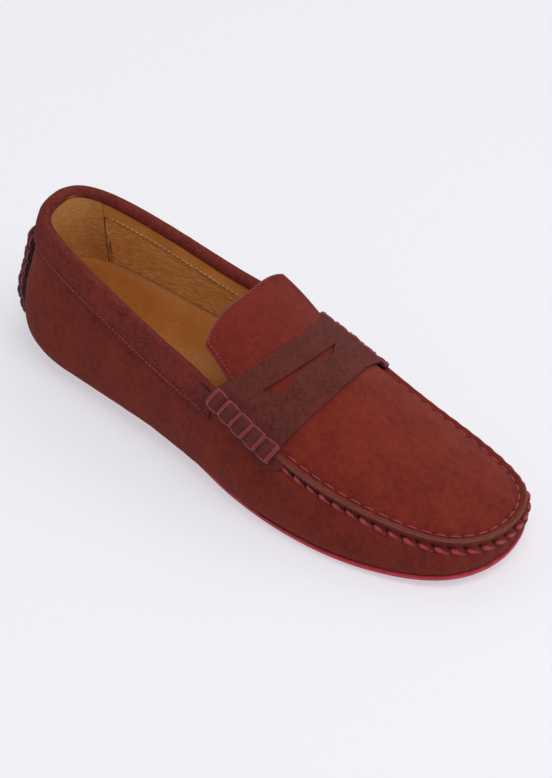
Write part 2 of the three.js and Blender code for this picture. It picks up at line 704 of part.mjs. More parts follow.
add("apron", apronSheet(0, APRON_ROWS, 0, APRON_COLUMNS, CLEAR, apronTop), apronSuede);
add("apron_lining", apronSheet(1, APRON_ROWS - 1, 1, APRON_COLUMNS - 1, -LINING_THICK, 0), tanLeather);
add("saddle_strap", saddleStrap(), strapSuede);
add("tongue", tongueSheet(0, APRON_THICK, 0), apronSuede);
add("tongue_lining", tongueSheet(-CLEAR - LINING_THICK, -CLEAR, 0.06), tanLeather);

for (const [name, inner] of [["outer", false], ["inner", true]]) {
  add(name + "_roll_patch", rollPatch(inner), strapSuede);
  add(name + "_roll", roll(sideRollPath(inner), ROLL_WIDTH, SIDE_PILLOWS), strapSuede);
  add(name + "_roll_lacing", lacing(sideRollPath(inner), ROLL_WIDTH, SIDE_PILLOWS), cord);
}
add("heel_stay", heelStay(), stayLeather);
add("heel_roll", roll(heelRollPath, HEEL_ROLL_WIDTH, HEEL_PILLOWS), stayLeather);
add("heel_roll_lacing", lacing(heelRollPath, HEEL_ROLL_WIDTH, HEEL_PILLOWS), cord);

add("apron_seam_cord", seamCord(), cord);
add("collar_stitching", bandStitch(-4.5, 4.5, BAND_STITCH_RISE, onBand), fineThread);
add("outer_lining_stitching", bandStitch(BACK_SEAM + 0.25, 4.75, 0, onLining), creamThread);
add("inner_lining_stitching", bandStitch(-4.75, -BACK_SEAM - 0.25, 0, onLining), creamThread);
add("tongue_stitching", tongueStitch(), fineThread);

// The shoe stands on its studs, centred on the origin.
const box = new THREE.Box3().setFromObject(shoe);
const middle = box.getCenter(V(0, 0, 0));
shoe.position.set(-middle.x, -middle.y, -box.min.z);

export default shoe;
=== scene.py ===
import bpy
import numpy as np
from mathutils import Matrix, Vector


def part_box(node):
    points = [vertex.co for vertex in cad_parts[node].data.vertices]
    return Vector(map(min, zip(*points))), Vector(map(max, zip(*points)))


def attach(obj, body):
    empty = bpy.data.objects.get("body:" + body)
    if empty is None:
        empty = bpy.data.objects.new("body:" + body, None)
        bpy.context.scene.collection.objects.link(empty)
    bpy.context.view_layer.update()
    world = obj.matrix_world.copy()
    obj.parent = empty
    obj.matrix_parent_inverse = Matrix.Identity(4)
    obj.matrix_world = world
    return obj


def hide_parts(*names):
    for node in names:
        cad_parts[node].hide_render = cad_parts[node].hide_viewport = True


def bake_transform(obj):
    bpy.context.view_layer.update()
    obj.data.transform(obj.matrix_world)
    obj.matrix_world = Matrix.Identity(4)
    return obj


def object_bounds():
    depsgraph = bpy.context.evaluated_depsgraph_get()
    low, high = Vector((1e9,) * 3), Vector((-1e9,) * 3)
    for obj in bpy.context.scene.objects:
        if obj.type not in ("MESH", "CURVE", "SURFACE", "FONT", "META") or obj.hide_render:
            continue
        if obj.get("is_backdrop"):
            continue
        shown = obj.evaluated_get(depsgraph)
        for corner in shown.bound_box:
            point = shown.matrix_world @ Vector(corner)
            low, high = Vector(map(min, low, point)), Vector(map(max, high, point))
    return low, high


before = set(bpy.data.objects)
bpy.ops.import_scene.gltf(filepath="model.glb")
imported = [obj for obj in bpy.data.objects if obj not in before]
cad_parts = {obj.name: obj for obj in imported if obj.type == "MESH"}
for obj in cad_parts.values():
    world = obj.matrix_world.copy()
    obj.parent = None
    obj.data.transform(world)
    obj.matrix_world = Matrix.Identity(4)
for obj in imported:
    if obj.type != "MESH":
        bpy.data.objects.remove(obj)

cad_box = [list(corner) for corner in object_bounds()]

# ---------- 1. rubber sole ----------
# A thin sheet of red rubber under the whole shoe, moulded in one with round driving studs under the
# heel and the ball. It is cemented to the wrapped upper and its rounded edge stands just proud of it.
SOLE_LENGTH = 264
SHEET_THICK, STUD_HEIGHT, SOLE_GAP = 2.2, 2.0, 0.3
SOLE_TOP = SHEET_THICK + STUD_HEIGHT + SOLE_GAP
TOE_SPRING, SPRING_START = 3.5, 0.74
STUD_RADIUS, STUD_PITCH, STUD_MARGIN = 3.5, 15, 5
# Stations round the shoe, heel back, outer side, toe, inner side, in millimetres from the heel:
# feather line x, y; rim x, y, z; lower reach and lift share, upper reach and drop share.
STATIONS = np.array([
    [6, 1, 5, 1, 76, 19, .16, 3, .45], [11, -15, 9, -17, 75, 18, .16, 3, .45],
    [32, -25, 35, -25, 70, 13, .12, 4, .45], [67, -27, 69, -30, 62, 12, .1, 5, .45],
    [102, -32, 101, -35, 55, 11, .1, 5, .4], [137, -42, 131, -40, 52, 10, .1, 4, .4],
    [168, -49, 159, -45, 42, 8, .12, 5, .35], [199, -50, 190, -45, 32, 5, .2, 5, .3],
    [228, -45, 221, -41, 27, 3, .3, 5, .25], [255, -33, 248, -31, 23, 2, .4, 4, .2],
    [266, -11, 262, -12, 22, 1, .4, 3, .2], [264, 13, 262, 12, 22, 1, .4, 3, .2],
    [254, 32, 251, 28, 21, 2, .4, 4, .2], [229, 41, 225, 35, 23, 3, .3, 5, .25],
    [199, 42, 197, 35, 29, 5, .2, 5, .3], [169, 35, 167, 34, 40, 8, .12, 5, .35],
    [137, 28, 137, 32, 52, 10, .1, 4, .4], [102, 24, 103, 30, 56, 11, .1, 5, .4],
    [67, 24, 67, 29, 62, 12, .1, 5, .45], [32, 25, 31, 27, 69, 13, .12, 4, .45],
    [11, 17, 7, 19, 74, 18, .16, 3, .45]])
COUNT = len(STATIONS)
UP = np.array([0, 0, 1.0])


def ring_spline(column, u):
    """Closed uniform cubic B-spline through one column of the stations, at station u."""
    i = np.floor(u).astype(int)
    f = u - i
    weights = (1 - f)**3, 3*f**3 - 6*f*f + 4, 3*f + 3*f*f - 3*f**3 + 1, f**3
    return sum(w * STATIONS[(i + k - 1) % COUNT, column] for k, w in enumerate(weights)) / 6


def sole_rise(x):
    """Underside of the upper: flat, then rising as a square towards the toe."""
    reach = np.maximum(0, x / SOLE_LENGTH - SPRING_START) / (1 - SPRING_START)
    return SOLE_TOP + TOE_SPRING * reach**2


def feather(u):
    """Line where the side of the upper meets the sole."""
    x = ring_spline(0, u)
    return np.stack([x, ring_spline(1, u), sole_rise(x)], -1)


def top_edge(u):
    """Rim of the upper, drawn a little forward and down round the toe."""
    rim = np.stack([ring_spline(k, u) for k in (2, 3, 4)], -1)
    share = np.clip((rim[..., :1] - 212) / 40, 0, 1)
    return rim + share * share * (3 - 2 * share) * np.array([2.1, 0, -1])


def unit(v):
    """Vectors scaled to length one."""
    return v / np.maximum(np.linalg.norm(v, axis=-1, keepdims=True), 1e-9)


def outward(u):
    """Level direction that leaves the shoe: the tangent of both edges, turned a quarter."""
    d = feather(u + .01) - feather(u - .01) + top_edge(u + .01) - top_edge(u - .01)
    return unit(np.stack([d[..., 1], -d[..., 0], 0 * d[..., 0]], -1))


def mend(value, low, high):
    """Smooth step: 0 below low, 1 above high, with level ends."""
    t = np.clip((value - low) / (high - low), 0, 1)
    return t * t * (3 - 2 * t)


def hump(value, at, wide):
    """Bell curve of height 1, falling off over a width on both sides."""
    return np.exp(-((value - at) / wide)**2)


def lengths(points, axis=0):
    """Running length along one axis of a grid of points, from 0 at its first point."""
    steps = np.diff(points, axis=axis, prepend=np.take(points, [0], axis))
    return np.cumsum(np.linalg.norm(steps, axis=-1), axis)


def full_turn(count):
    """Angles of even steps round a circle."""
    return np.arange(count) * 2 * np.pi / count


def stations(count):
    """One row of even stations round the shoe."""
    return np.arange(count)[None] * COUNT / count


def midline(ring):
    """Middle between the feather line's two sides, at each station."""
    return (feather(ring) + feather(-ring % COUNT)) / 2


# The frame's origin is under the middle of the sole's outline.
outline = (feather(np.arange(4 * COUNT) / 4) + outward(np.arange(4 * COUNT) / 4))[:, :2]
sole_box = np.array(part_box("outsole"))[:, :2] * 1000
ORIGIN = np.append((outline.min(0) + outline.max(0)) / 2 - sole_box.mean(0), 0)


def build(name, points, finish, body="shoe", wrap=(False, False), open_at=None, **values):
    """A grid of points (rows, columns, 3), or a batch of grids, as one closed mesh: quads between
    neighbours, coinciding points joined, faces turned outwards by the sign of the volume.
    Values are kept per point; uv is the length along the rows and the columns, in metres."""
    grids = points if points.ndim == 4 else points[None]
    k, n, m = grids.shape[:3]
    rows, columns = np.arange(n - (not wrap[0])), np.arange(m - (not wrap[1]))
    g, i, j = np.meshgrid(np.arange(k), rows, columns, indexing="ij")
    at = lambda a, b: (g * n + a % n) * m + b % m
    quads = np.stack([at(i, j), at(i + 1, j), at(i + 1, j + 1), at(i, j + 1)], -1)
    quads = quads.reshape(-1, 4) if open_at is None else quads[~open_at[g, i, j]]
    flat = grids.reshape(-1, 3)
    _, first, same = np.unique(np.round(flat, 3), axis=0, return_index=True, return_inverse=True)
    quads = same.reshape(-1)[quads]
    double = quads == np.roll(quads, -1, 1)
    tris = quads[double.sum(1) == 1]
    keep = ~(tris == np.roll(tris, -1, 1))
    tris = tris[keep].reshape(-1, 3)
    quads = quads[double.sum(1) == 0]
    place = flat[first]
    halves = np.vstack([quads[:, [0, 1, 2]], quads[:, [0, 2, 3]], tris])
    corner = [place[halves[:, c]] for c in range(3)]
    if (corner[0] * np.cross(corner[1], corner[2])).sum() < 0:
        quads, tris = quads[:, ::-1], tris[:, ::-1]
    mesh = bpy.data.meshes.new(name)
    mesh.from_pydata(((place - ORIGIN) / 1000).tolist(), [], quads.tolist() + tris.tolist())
    mesh.polygons.foreach_set("use_smooth", np.ones(len(mesh.polygons), bool))
    uv = np.stack([lengths(grids, k).reshape(-1)[first] for k in (1, 2)], -1) / 1000
    loops = np.empty(len(mesh.loops), np.int32)
    mesh.loops.foreach_get("vertex_index", loops)
    mesh.uv_layers.new(name="run").data.foreach_set("uv", uv[loops].astype(np.float32).ravel())
    for label, value in values.items():
        layer = mesh.attributes.new(label, "FLOAT", "POINT")
        value = np.broadcast_to(value, grids.shape[:3] if points.ndim == 4 else (n, m))
        layer.data.foreach_set("value", value.reshape(-1)[first].astype(np.float32))
    mesh.materials.append(finish)
    piece = bpy.data.objects.new(name, mesh)
    bpy.context.scene.collection.objects.link(piece)
    if body:
        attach(piece, body)
    return piece


def tone(r, g, b):
    """Screen colour to linear light, with full cover."""
    c = np.array([r, g, b]) / 255
    return (*np.where(c < .04045, c / 12.92, ((c + .055) / 1.055)**2.4), 1.0)


def put(tree, kind, *wires, **settings):
    """A new shader node; wires go to its inputs in order, settings to its properties or inputs."""
    made = tree.nodes.new("ShaderNode" + kind)
    feeds = list(zip(made.inputs, wires))
    for key, value in settings.items():
        if hasattr(made, key):
            setattr(made, key, value)
        else:
            feeds.append((made.inputs[key.replace("_", " ")], value))
    for socket, value in feeds:
        if isinstance(value, bpy.types.NodeSocket):
            tree.links.new(value, socket)
        elif value is not None:
            socket.default_value = value
    return made


def effect(name, inputs, outputs):
    """A shader node group with named sockets: its tree, its inputs by name and its output node."""
    tree = bpy.data.node_groups.new(name, "ShaderNodeTree")
    for label, (kind, default) in inputs.items():
        socket = tree.interface.new_socket(label, in_out="INPUT", socket_type="NodeSocket" + kind)
        if default is not None:
            socket.default_value = default
    for label, kind in outputs.items():
        tree.interface.new_socket(label, in_out="OUTPUT", socket_type="NodeSocket" + kind)
    return tree, tree.nodes.new("NodeGroupInput").outputs, tree.nodes.new("NodeGroupOutput").inputs


def scatter(tree, place, scale, low=.35, high=.65, detail=3.0, rough=.6):
    """Noise with that many cells a metre, stretched to run from 0 to 1 between two levels."""
    noise = put(tree, "TexNoise", Vector=place, Scale=scale, Detail=detail, Roughness=rough)
    return put(tree, "MapRange", noise.outputs["Fac"], low, high, 0.0, 1.0).outputs[0]


def maths(tree, operation, a, b=0.0):
    """Sum, product or the like of one or two values."""
    return put(tree, "Math", a, b, operation=operation).outputs[0]


def times(tree, a, b):
    """Product of two values."""
    return maths(tree, "MULTIPLY", a, b)


def mix(tree, factor, a, b):
    """From colour a to colour b by a factor."""
    return put(tree, "MixRGB", factor, a, b).outputs[0]


# Shared effect: painted shade and raw-edge wear. Darkens hollows, creases, undersides and the inside
# of the shoe by the piece's own "shade" as painted shade, lightens raw edges by its own "edge", the
# edges broken up by noise.
wear_and_shade_group, wear_and_shade_in, wear_and_shade_out = effect("wear", {
    "Position": ("Vector", None), "Color": ("Color", None), "Raw": ("Color", None),
    "Edge": ("Float", 0.0), "Shade": ("Float", 0.0), "Depth": ("Float", .8)}, {"Color": "Color"})
patchy = scatter(wear_and_shade_group, wear_and_shade_in["Position"], 500, .25, .6)
half_patchy = put(wear_and_shade_group, "Math", patchy, .5, .5, operation="MULTIPLY_ADD").outputs[0]
raw = times(wear_and_shade_group, wear_and_shade_in["Edge"], half_patchy)
raw_mixed = mix(wear_and_shade_group, raw, wear_and_shade_in["Color"], wear_and_shade_in["Raw"])
# Painted shade: the piece's "shade" darkens it towards a near-black colour.
painted_shade = times(wear_and_shade_group, wear_and_shade_in["Shade"], wear_and_shade_in["Depth"])
PAINTED_SHADE_COLOR = .012, .003, .003, 1
wear_and_shade_group.links.new(mix(wear_and_shade_group, painted_shade, raw_mixed, PAINTED_SHADE_COLOR), wear_and_shade_out["Color"])


def surface(name, roughness, **shader):
    """A material with a plain shader, ready for its colour and relief; returns what nodes need."""
    finish = bpy.data.materials.new(name)
    finish.use_nodes = True
    tree = finish.node_tree
    bsdf = tree.nodes["Principled BSDF"]
    bsdf.inputs["Roughness"].default_value = roughness
    for key, value in shader.items():
        bsdf.inputs[key.replace("_", " ")].default_value = value
    return finish, tree, bsdf, put(tree, "TexCoord").outputs["Object"]


def kept(tree, label):
    """A value kept on the piece's own points."""
    return put(tree, "Attribute", attribute_name=label).outputs["Fac"]


def worn_and_shaded(tree, place, color, raw, depth=.8):
    """Colour after the shared raw-edge wear and painted shade."""
    made = put(tree, "Group")
    made.node_tree = wear_and_shade_group
    for key, value in (("Position", place), ("Color", color), ("Edge", kept(tree, "edge")),
                       ("Shade", kept(tree, "shade"))):
        tree.links.new(value, made.inputs[key])
    made.inputs["Raw"].default_value, made.inputs["Depth"].default_value = raw, depth
    return made.outputs["Color"]


def relief(tree, bsdf, height, distance, strength=1.0):
    """Bump from a height between 0 and 1 that stands for so many metres."""
    bump = put(tree, "Bump", Strength=strength, Distance=distance, Height=height)
    tree.links.new(bump.outputs[0], bsdf.inputs["Normal"])


rubber, tree, bsdf, place = surface("rubber", .55, Specular_IOR_Level=.35)
dusty = scatter(tree, place, 260, .3, .7)
red = mix(tree, dusty, tone(150, 30, 44), tone(186, 48, 62))
tree.links.new(worn_and_shaded(tree, place, red, tone(196, 70, 80), .55), bsdf.inputs["Base Color"])
relief(tree, bsdf, scatter(tree, place, 1500), .00015)

# The sheet's section: share of the way from the middle to the feather line, height, way outwards.
ring = stations(504)
spine = midline(ring)
profile = [(0, -.3, 0), (.5, -.3, 0), (1, -.3, .4), (1, -.45, .85), (1, -.75, 1), (1, -1.3, 1.05),
           (1, -1.9, 1), (1, -2.3, .8), (1, -2.5, .4), (.5, -2.5, 0), (0, -2.5, 0)]
share, drop, out = [np.array(c)[:, None, None] for c in zip(*profile)]
tucked = 2.2 * (1 - mend(feather(ring)[..., :1], 105, 150))
level = spine + (feather(ring) - spine) * share + outward(ring) * (out - tucked * share)
level[..., 2] = sole_rise(level[..., 0]) + drop[..., 0]
sole = build("rubber_sole", level, rubber, wrap=(False, True),
             edge=mend(-np.abs(drop[..., 0] + 1.3), -.6, 0) * (share[..., 0] == 1), shade=0)
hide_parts("outsole")

half = np.linspace(0, COUNT / 2, 200)
row_step = STUD_PITCH * 3**.5 / 2
rows = np.arange(1, int(SOLE_LENGTH / row_step) + 1)
x = rows * row_step + STUD_MARGIN / 2
studded = (x < .3 * SOLE_LENGTH) | (x > .52 * SOLE_LENGTH)
x, shift = x[studded], (rows % 2 * STUD_PITCH / 2)[studded]
y = np.arange(-5, 5)[None] * STUD_PITCH + shift[:, None]
outer, inner = [np.interp(x, line[:, 0], line[:, 1])[:, None]
                for line in (feather(half), feather(-half))]
inside = (y > outer + STUD_RADIUS + STUD_MARGIN) & (y < inner - STUD_RADIUS - STUD_MARGIN)
inside &= (x < feather(half)[:, 0].max() - 20)[:, None]
centre = np.stack([np.broadcast_to(x[:, None], y.shape)[inside], y[inside]], -1)
turn = full_turn(14)
radius, height = np.array([(0, .6), (STUD_RADIUS, .6), (STUD_RADIUS, -.9), (3.3, -1.5), (2.6, -1.9),
                           (1.3, -STUD_HEIGHT), (0, -STUD_HEIGHT)]).T
studs = np.empty((len(centre), len(radius), len(turn), 3))
studs[..., 0] = centre[:, None, None, 0] + radius[:, None] * np.cos(turn)
studs[..., 1] = centre[:, None, None, 1] + radius[:, None] * np.sin(turn)
studs[..., 2] = sole_rise(centre[:, None, None, 0]) - SOLE_GAP - SHEET_THICK + height[:, None]
stud_piece = build("rubber_studs", studs, rubber, wrap=(False, True), edge=0, shade=0)

# ---------- 2. moccasin upper ----------
# One piece of reddish brown suede wrapped up from under the foot. Its front edge is turned up and
# sewn to the apron in a raised seam, and the thread draws the toe into soft puckers.
UPPER_THICK = 1.4
THROAT_OUT, THROAT_IN = 5, COUNT - 5
SEAM_PITCH = 6.8


def side(u, v):
    """Side of the upper: a cubic from the feather line (v 0) to the rim (v 1)."""
    u, v = np.broadcast_arrays(u, v)
    low, high, out = feather(u), top_edge(u), outward(u)
    rise = (high - low)[..., 2:]
    c5, c6, c7, c8 = [ring_spline(k, u)[..., None] for k in (5, 6, 7, 8)]
    a, b = low + out * c5 + UP * rise * c6, high + out * c7 - UP * rise * c8
    v = v[..., None]
    return (1 - v)**3 * low + 3 * (1 - v)**2 * v * a + 3 * (1 - v) * v * v * b + v**3 * high


def wall_normal(u, v):
    """Outward normal of the side."""
    u, v = np.broadcast_arrays(u, v)
    du = side(u + .01, v) - side(u - .01, v)
    return unit(np.cross(du, side(u, np.minimum(1, v + .01)) - side(u, np.maximum(0, v - .01))))


def wall(u, v, offset):
    """Point on the side, moved along its outward normal."""
    return side(u, v) + wall_normal(u, v) * np.asarray(offset)[..., None]


def rim_reach(u):
    """Length along the side that the whole height share stands for, as it is at the rim."""
    return 3 * ring_spline(8, u) * (top_edge(u) - feather(u))[..., 2]


def below(u, distance):
    """Height share that lies a distance under the rim, measured along the side."""
    return 1 - distance / rim_reach(u)


def ripple(place, size, seed=0):
    """Smooth unevenness, mostly within 1: a quarter of six sines in random directions, about
    size apart."""
    turns = np.random.default_rng(seed)
    directions = unit(turns.normal(size=(6, 3)))
    phases, stretches = turns.uniform(0, 6.28, 6), turns.uniform(.7, 1.6, 6)
    return sum(np.sin(place @ direction * 6.28 / (size * stretch) + phase)
               for direction, phase, stretch in zip(directions, phases, stretches)) / 4


def apron_edge(u):
    """The seam line: the top edge of the side and a little beyond."""
    return top_edge(u) + outward(u)


STRAP_ARCH, STRAP_LEAN, APRON_CROWN, TOE_OUT = 14, 13, 4, 9.5


def bell(t):
    """Parabola: 0 at both ends of the share, 1 in its middle."""
    return 4 * t * (1 - t)


def throat_line(t):
    """Instep line across the throat, from the outer side to the inner, arched and leaning forward."""
    t = np.asarray(t)[..., None]
    ends = [apron_edge(np.array(float(u))) for u in (THROAT_OUT, THROAT_IN)]
    return ends[0] * (1 - t) + ends[1] * t + np.array([STRAP_LEAN, 0, STRAP_ARCH]) * bell(t)


def apron_point(s, t):
    """Coons patch over the front of the rim: s from the throat to the toe, t across."""
    s, t = np.broadcast_arrays(s, t)
    outer, inner = apron_edge(THROAT_OUT + 4.5 * s), apron_edge(THROAT_IN - 4.5 * s)
    toe, throat = apron_edge(TOE_OUT + 2 * t), throat_line(t)
    corner = lambda u: apron_edge(np.array(float(u)))
    s, t = s[..., None], t[..., None]
    flat = corner(THROAT_OUT) * (1 - s) * (1 - t) + corner(THROAT_IN) * (1 - s) * t \
        + corner(TOE_OUT) * s * (1 - t) + corner(COUNT - TOE_OUT) * s * t
    return outer * (1 - t) + inner * t + throat * (1 - s) + toe * s - flat \
        + UP * APRON_CROWN * bell(t) * bell(s)


def powers(x, y):
    """Terms of a smooth height over the plan: products of powers up to the eighth order."""
    x, y = (np.asarray(x) - 196) / 66, (np.asarray(y) + 4) / 42
    return np.stack([x**i * y**j for i in range(9) for j in range(9 - i)], -1)


patch = apron_point(*np.meshgrid(np.linspace(0, 1, 70), np.linspace(0, 1, 70), indexing="ij"))
patch = patch.reshape(-1, 3)
HEIGHTS = np.linalg.lstsq(powers(patch[:, 0], patch[:, 1]), patch[:, 2], rcond=None)[0]
instep_height = lambda x, y: powers(x, y) @ HEIGHTS


def instep_normal(x, y):
    """Upward normal of the smooth instep surface, from its slopes."""
    dx = instep_height(x + .1, y) - instep_height(x - .1, y)
    dy = instep_height(x, y + .1) - instep_height(x, y - .1)
    return unit(np.stack([-dx / .2, -dy / .2, np.ones_like(dx)], -1))


def instep_at(s, t, offset=0.0):
    """Point of the instep surface at patch place s, t, moved along its normal."""
    p = apron_point(s, t)
    p[..., 2] = instep_height(p[..., 0], p[..., 1])
    return p + instep_normal(p[..., 0], p[..., 1]) * np.asarray(offset)[..., None]


fine = np.linspace(THROAT_OUT, THROAT_IN, 2201)
arc = lengths(top_edge(fine))
SEAM_START, SEAM_END = np.interp([6.45, COUNT - 6.45], fine, arc)
SEAM_STITCHES = int((SEAM_END - SEAM_START) / SEAM_PITCH)


def seam_station(k):
    """Station of the seam's stitch number k."""
    return np.interp(SEAM_START + (k + .5) * SEAM_PITCH, arc, fine)


def seam_phase(u):
    """Stitch number at a station, whole at each stitch's middle."""
    return (np.interp(u, fine, arc) - SEAM_START) / SEAM_PITCH - .5


def sewn(phase):
    """1 along the stitched part of the seam, 0 beyond its first and last stitch."""
    return mend(phase, -1.2, -.2) * mend(-phase, -SEAM_STITCHES - .2, -SEAM_STITCHES + .8)


def needle_hole(phase):
    """1 at each hole, halfway between two stitches."""
    return hump(phase - np.round(phase - .5) - .5, 0, .1)


def ridge_up(u):
    """Direction in which the seam stands: between the side's normal and the apron's."""
    inside = np.clip(u, THROAT_OUT, THROAT_IN)
    e = top_edge(inside) - outward(inside) * 2
    return unit(wall_normal(u, 1.0) + instep_normal(e[..., 0], e[..., 1]))


def evened(directions, before, after, window):
    """Running mean of a row of directions, given what comes before and after it."""
    row = np.vstack([before, directions, after])
    mean = np.stack([np.convolve(row[:, k], np.ones(window) / window, "same") for k in range(3)], -1)
    return unit(mean[len(before):-len(after)])[None]


# Shared effect: the nap of suede. Lighter tufts and drag marks lie on a patchy ground, and the height
# adds tufts, fibres and drag marks.
nap_group, nap_in, nap_out = effect("nap", {
    "Position": ("Vector", None), "Base": ("Color", None), "Dark": ("Color", None),
    "Light": ("Color", None), "Speckle": ("Float", .5)}, {"Color": "Color", "Height": "Float"})
patches = scatter(nap_group, nap_in["Position"], 75, .36, .62)
drag = scatter(nap_group, nap_in["Position"], 320, .3, .7, 4.0, .65)
tufts = scatter(nap_group, nap_in["Position"], 1300, .4, .72, 4.0, .7)
fibres = scatter(nap_group, nap_in["Position"], 4200, .3, .7, 2.0)
ground = mix(nap_group, patches, nap_in["Dark"], nap_in["Base"])
for lit in (times(nap_group, drag, .5), times(nap_group, tufts, nap_in["Speckle"])):
    ground = mix(nap_group, lit, ground, nap_in["Light"])
nap_group.links.new(ground, nap_out["Color"])
height = maths(nap_group, "ADD", times(nap_group, tufts, .5), times(nap_group, fibres, .25))
height = maths(nap_group, "ADD", height, times(nap_group, drag, .35))
nap_group.links.new(height, nap_out["Height"])


def suede(name, base, dark, light, raw, speckle=.5, depth=.00035, painted_shade=.8):
    """Suede: the shared nap, raw-edge wear and painted shade over a dull shader with a soft sheen."""
    finish, tree, bsdf, place = surface(name, .95, Specular_IOR_Level=.06, Sheen_Weight=.1,
                                        Sheen_Roughness=.55, Sheen_Tint=(1, .5, .42, 1))
    nap = put(tree, "Group")
    nap.node_tree = nap_group
    tree.links.new(place, nap.inputs["Position"])
    for key, screen in (("Base", base), ("Dark", dark), ("Light", light)):
        nap.inputs[key].default_value = tone(*screen)
    nap.inputs["Speckle"].default_value = speckle
    color = worn_and_shaded(tree, place, nap.outputs["Color"], tone(*raw), painted_shade)
    tree.links.new(color, bsdf.inputs["Base Color"])
    relief(tree, bsdf, nap.outputs["Height"], depth)
    return finish


vamp_suede = suede("vamp_suede", (106, 34, 27), (80, 23, 19), (134, 52, 40), (128, 88, 72), .6)

ring = stations(1008)
spine = midline(ring)
front = mend(ring, 4.7, 5.3) * mend(-ring, -16.3, -15.7)
up = ridge_up(ring[0])
up = evened(up, up[-20:], up[:20], 17)

# Rows up the side: even ones low down, then ones that crowd towards the rim.
rim_steps = np.array([14, 11.5, 9.5, 8, 6.6, 5.5, 4.6, 3.9, 3.3, 2.8, 2.4, 2, 1.6, 1.25, .95, .7,
                      .45, .2, 0])[:, None]
v_low = np.linspace(0, 1, 29)[:-1, None] * below(ring, np.minimum(16, .62 * rim_reach(ring)))
v_high = below(ring, np.minimum(rim_steps, rim_steps / rim_steps[0] * .58 * rim_reach(ring)))
v = np.vstack([v_low, v_high])
surf = side(ring, v)
gone = lengths(surf)
gone = gone[-1:] - gone
phase = seam_phase(np.clip(ring, THROAT_OUT, THROAT_IN))
stitched = sewn(phase) * front
toeward = mend(top_edge(ring)[..., 0], 170, 250)
ridge = 2.45 * mend(-gone, -1.95, -.6)
offset = front * (ridge - .3 * hump(gone, 2.75, .75) + .75 * hump(gone, 6, 3))
offset += stitched * np.cos(2 * np.pi * phase) * (.24 + .4 * toeward) * hump(gone, 5, 4)
offset += stitched * toeward * .35 * np.cos(np.pi * phase + 1.3) * hump(gone, 9, 5)
hole = 1.5 * needle_hole(phase) * hump(gone, 2.7, .9) * stitched
offset -= .4 * hole
offset += .35 * ripple(surf, 34, 3) * mend(gone, 3, 14) * mend(v, 0, .1)
offset += .12 * ripple(surf, 12, 5) * mend(gone, 3, 9)
lean = mend(-gone, -2.4, -.4) * front
way = unit(wall_normal(ring, v) * (1 - lean[..., None]) + up * lean[..., None])
outside = surf + way * offset[..., None]
plain = side(ring, 1.0)
top_rows = [front[..., None] * (plain + outward(ring) * a + up * h)
            + (1 - front[..., None]) * (plain - outward(ring) * w)
            for a, h, w in ((0, 2.3, .3), (.03, 1.2, .8), (.02, .2, 1.2))]
v_in = np.array([.97, .8, .6, .4, .2, .05])[:, None]
inner_wall = wall(ring, v_in, -UPPER_THICK)
low = feather(ring) - outward(ring) * UPPER_THICK + UP * UPPER_THICK
floor_top = [spine + (low - spine) * w for w in (1, .5, 0)]
for f in floor_top:
    f[..., 2] = sole_rise(f[..., 0]) + UPPER_THICK
floor_low = [spine + (feather(ring) - spine) * w for w in (0, .5)]
for f in floor_low:
    f[..., 2] = sole_rise(f[..., 0])
rim_out = outside.copy()
rim_out[-1:] = np.where(front[..., None] > 0, outside[-1:] + outward(ring) * .12, outside[-1:])
grid = np.concatenate([*floor_low, rim_out, *top_rows, inner_wall, *floor_top])
edge = np.zeros(grid.shape[:2])
shade = np.zeros(grid.shape[:2])
wall_rows = slice(2, 2 + len(v))
edge[wall_rows] = front * mend(-gone, -.9, -.3)
edge[2 + len(v)] = front[0] * .6
# Painted shade: darker in the needle holes, along the seam's groove and near the feather line, on the
# inner face of the turned-up front edge, and all over the inside.
shade[wall_rows] = np.clip(hole + .3 * front * hump(gone, 2.4, .7) + .5 * mend(-v, -.05, 0), 0, 1)
shade[3 + len(v):5 + len(v)] = front
shade[5 + len(v):] = .5
upper = build("moccasin_upper_suede", grid, vamp_suede, wrap=(False, True), edge=edge, shade=shade)
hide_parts("moccasin_upper")

# ---------- 3. lining and footbed ----------
# Tan leather inside: a heel lining with its lighter flesh side out, grained quarter linings closed by
# a smooth facing strip with cream stitches, a vamp lining, and a glued sock over the foam footbed.
LINING_THICK, PADDING_THICK = .9, 2.2


def crowded(n, share):
    """Shares 0 to 1 in n even steps, with extra ones crowded into a share at both ends."""
    near = share * np.array([0, .03, .1, .22, .4, .65])
    return np.concatenate([near, np.linspace(share, 1 - share, n + 1), 1 - near[::-1]])


def margin(points):
    """Distance from each grid point to the nearest border, measured along the grid's lines."""
    down, over = lengths(points, 0), lengths(points, 1)
    return np.minimum.reduce([down, down[-1] - down, over, over[:, -1:] - over])


def sheet(name, place, a, b, low, thick, finish, body="shoe", gap=None, radius=.5, raw=1.0,
          shade=0.0, open_at=None):
    """A leather sheet over place(a, b, offset): thick above low, its border rounded as a
    superellipse so that both sides meet in one line; gap is each point's distance to the border."""
    middle = place(a, b, low + thick / 2)
    gap = margin(middle) if gap is None else gap(middle)
    swell = thick / 2 * (1 - (1 - np.clip(gap / radius, 0, 1))**2.6)**(1 / 2.6)
    swell[gap < 1e-6] = 0
    grid = np.concatenate([place(a, b, low + thick / 2 + swell),
                           place(a, b, low + thick / 2 - swell)[::-1]])
    both = lambda x: np.concatenate([x, x[::-1]])
    shade = np.broadcast_to(shade, gap.shape)
    if open_at is not None:
        open_at = np.concatenate([open_at, np.zeros_like(open_at[:1]), open_at[::-1],
                                  np.zeros_like(open_at[:1])])[None]
    return build(name, grid, finish, body, wrap=(True, False), open_at=open_at,
                 edge=both(np.clip(1 - gap / .7, 0, 1)) * raw, shade=both(shade))


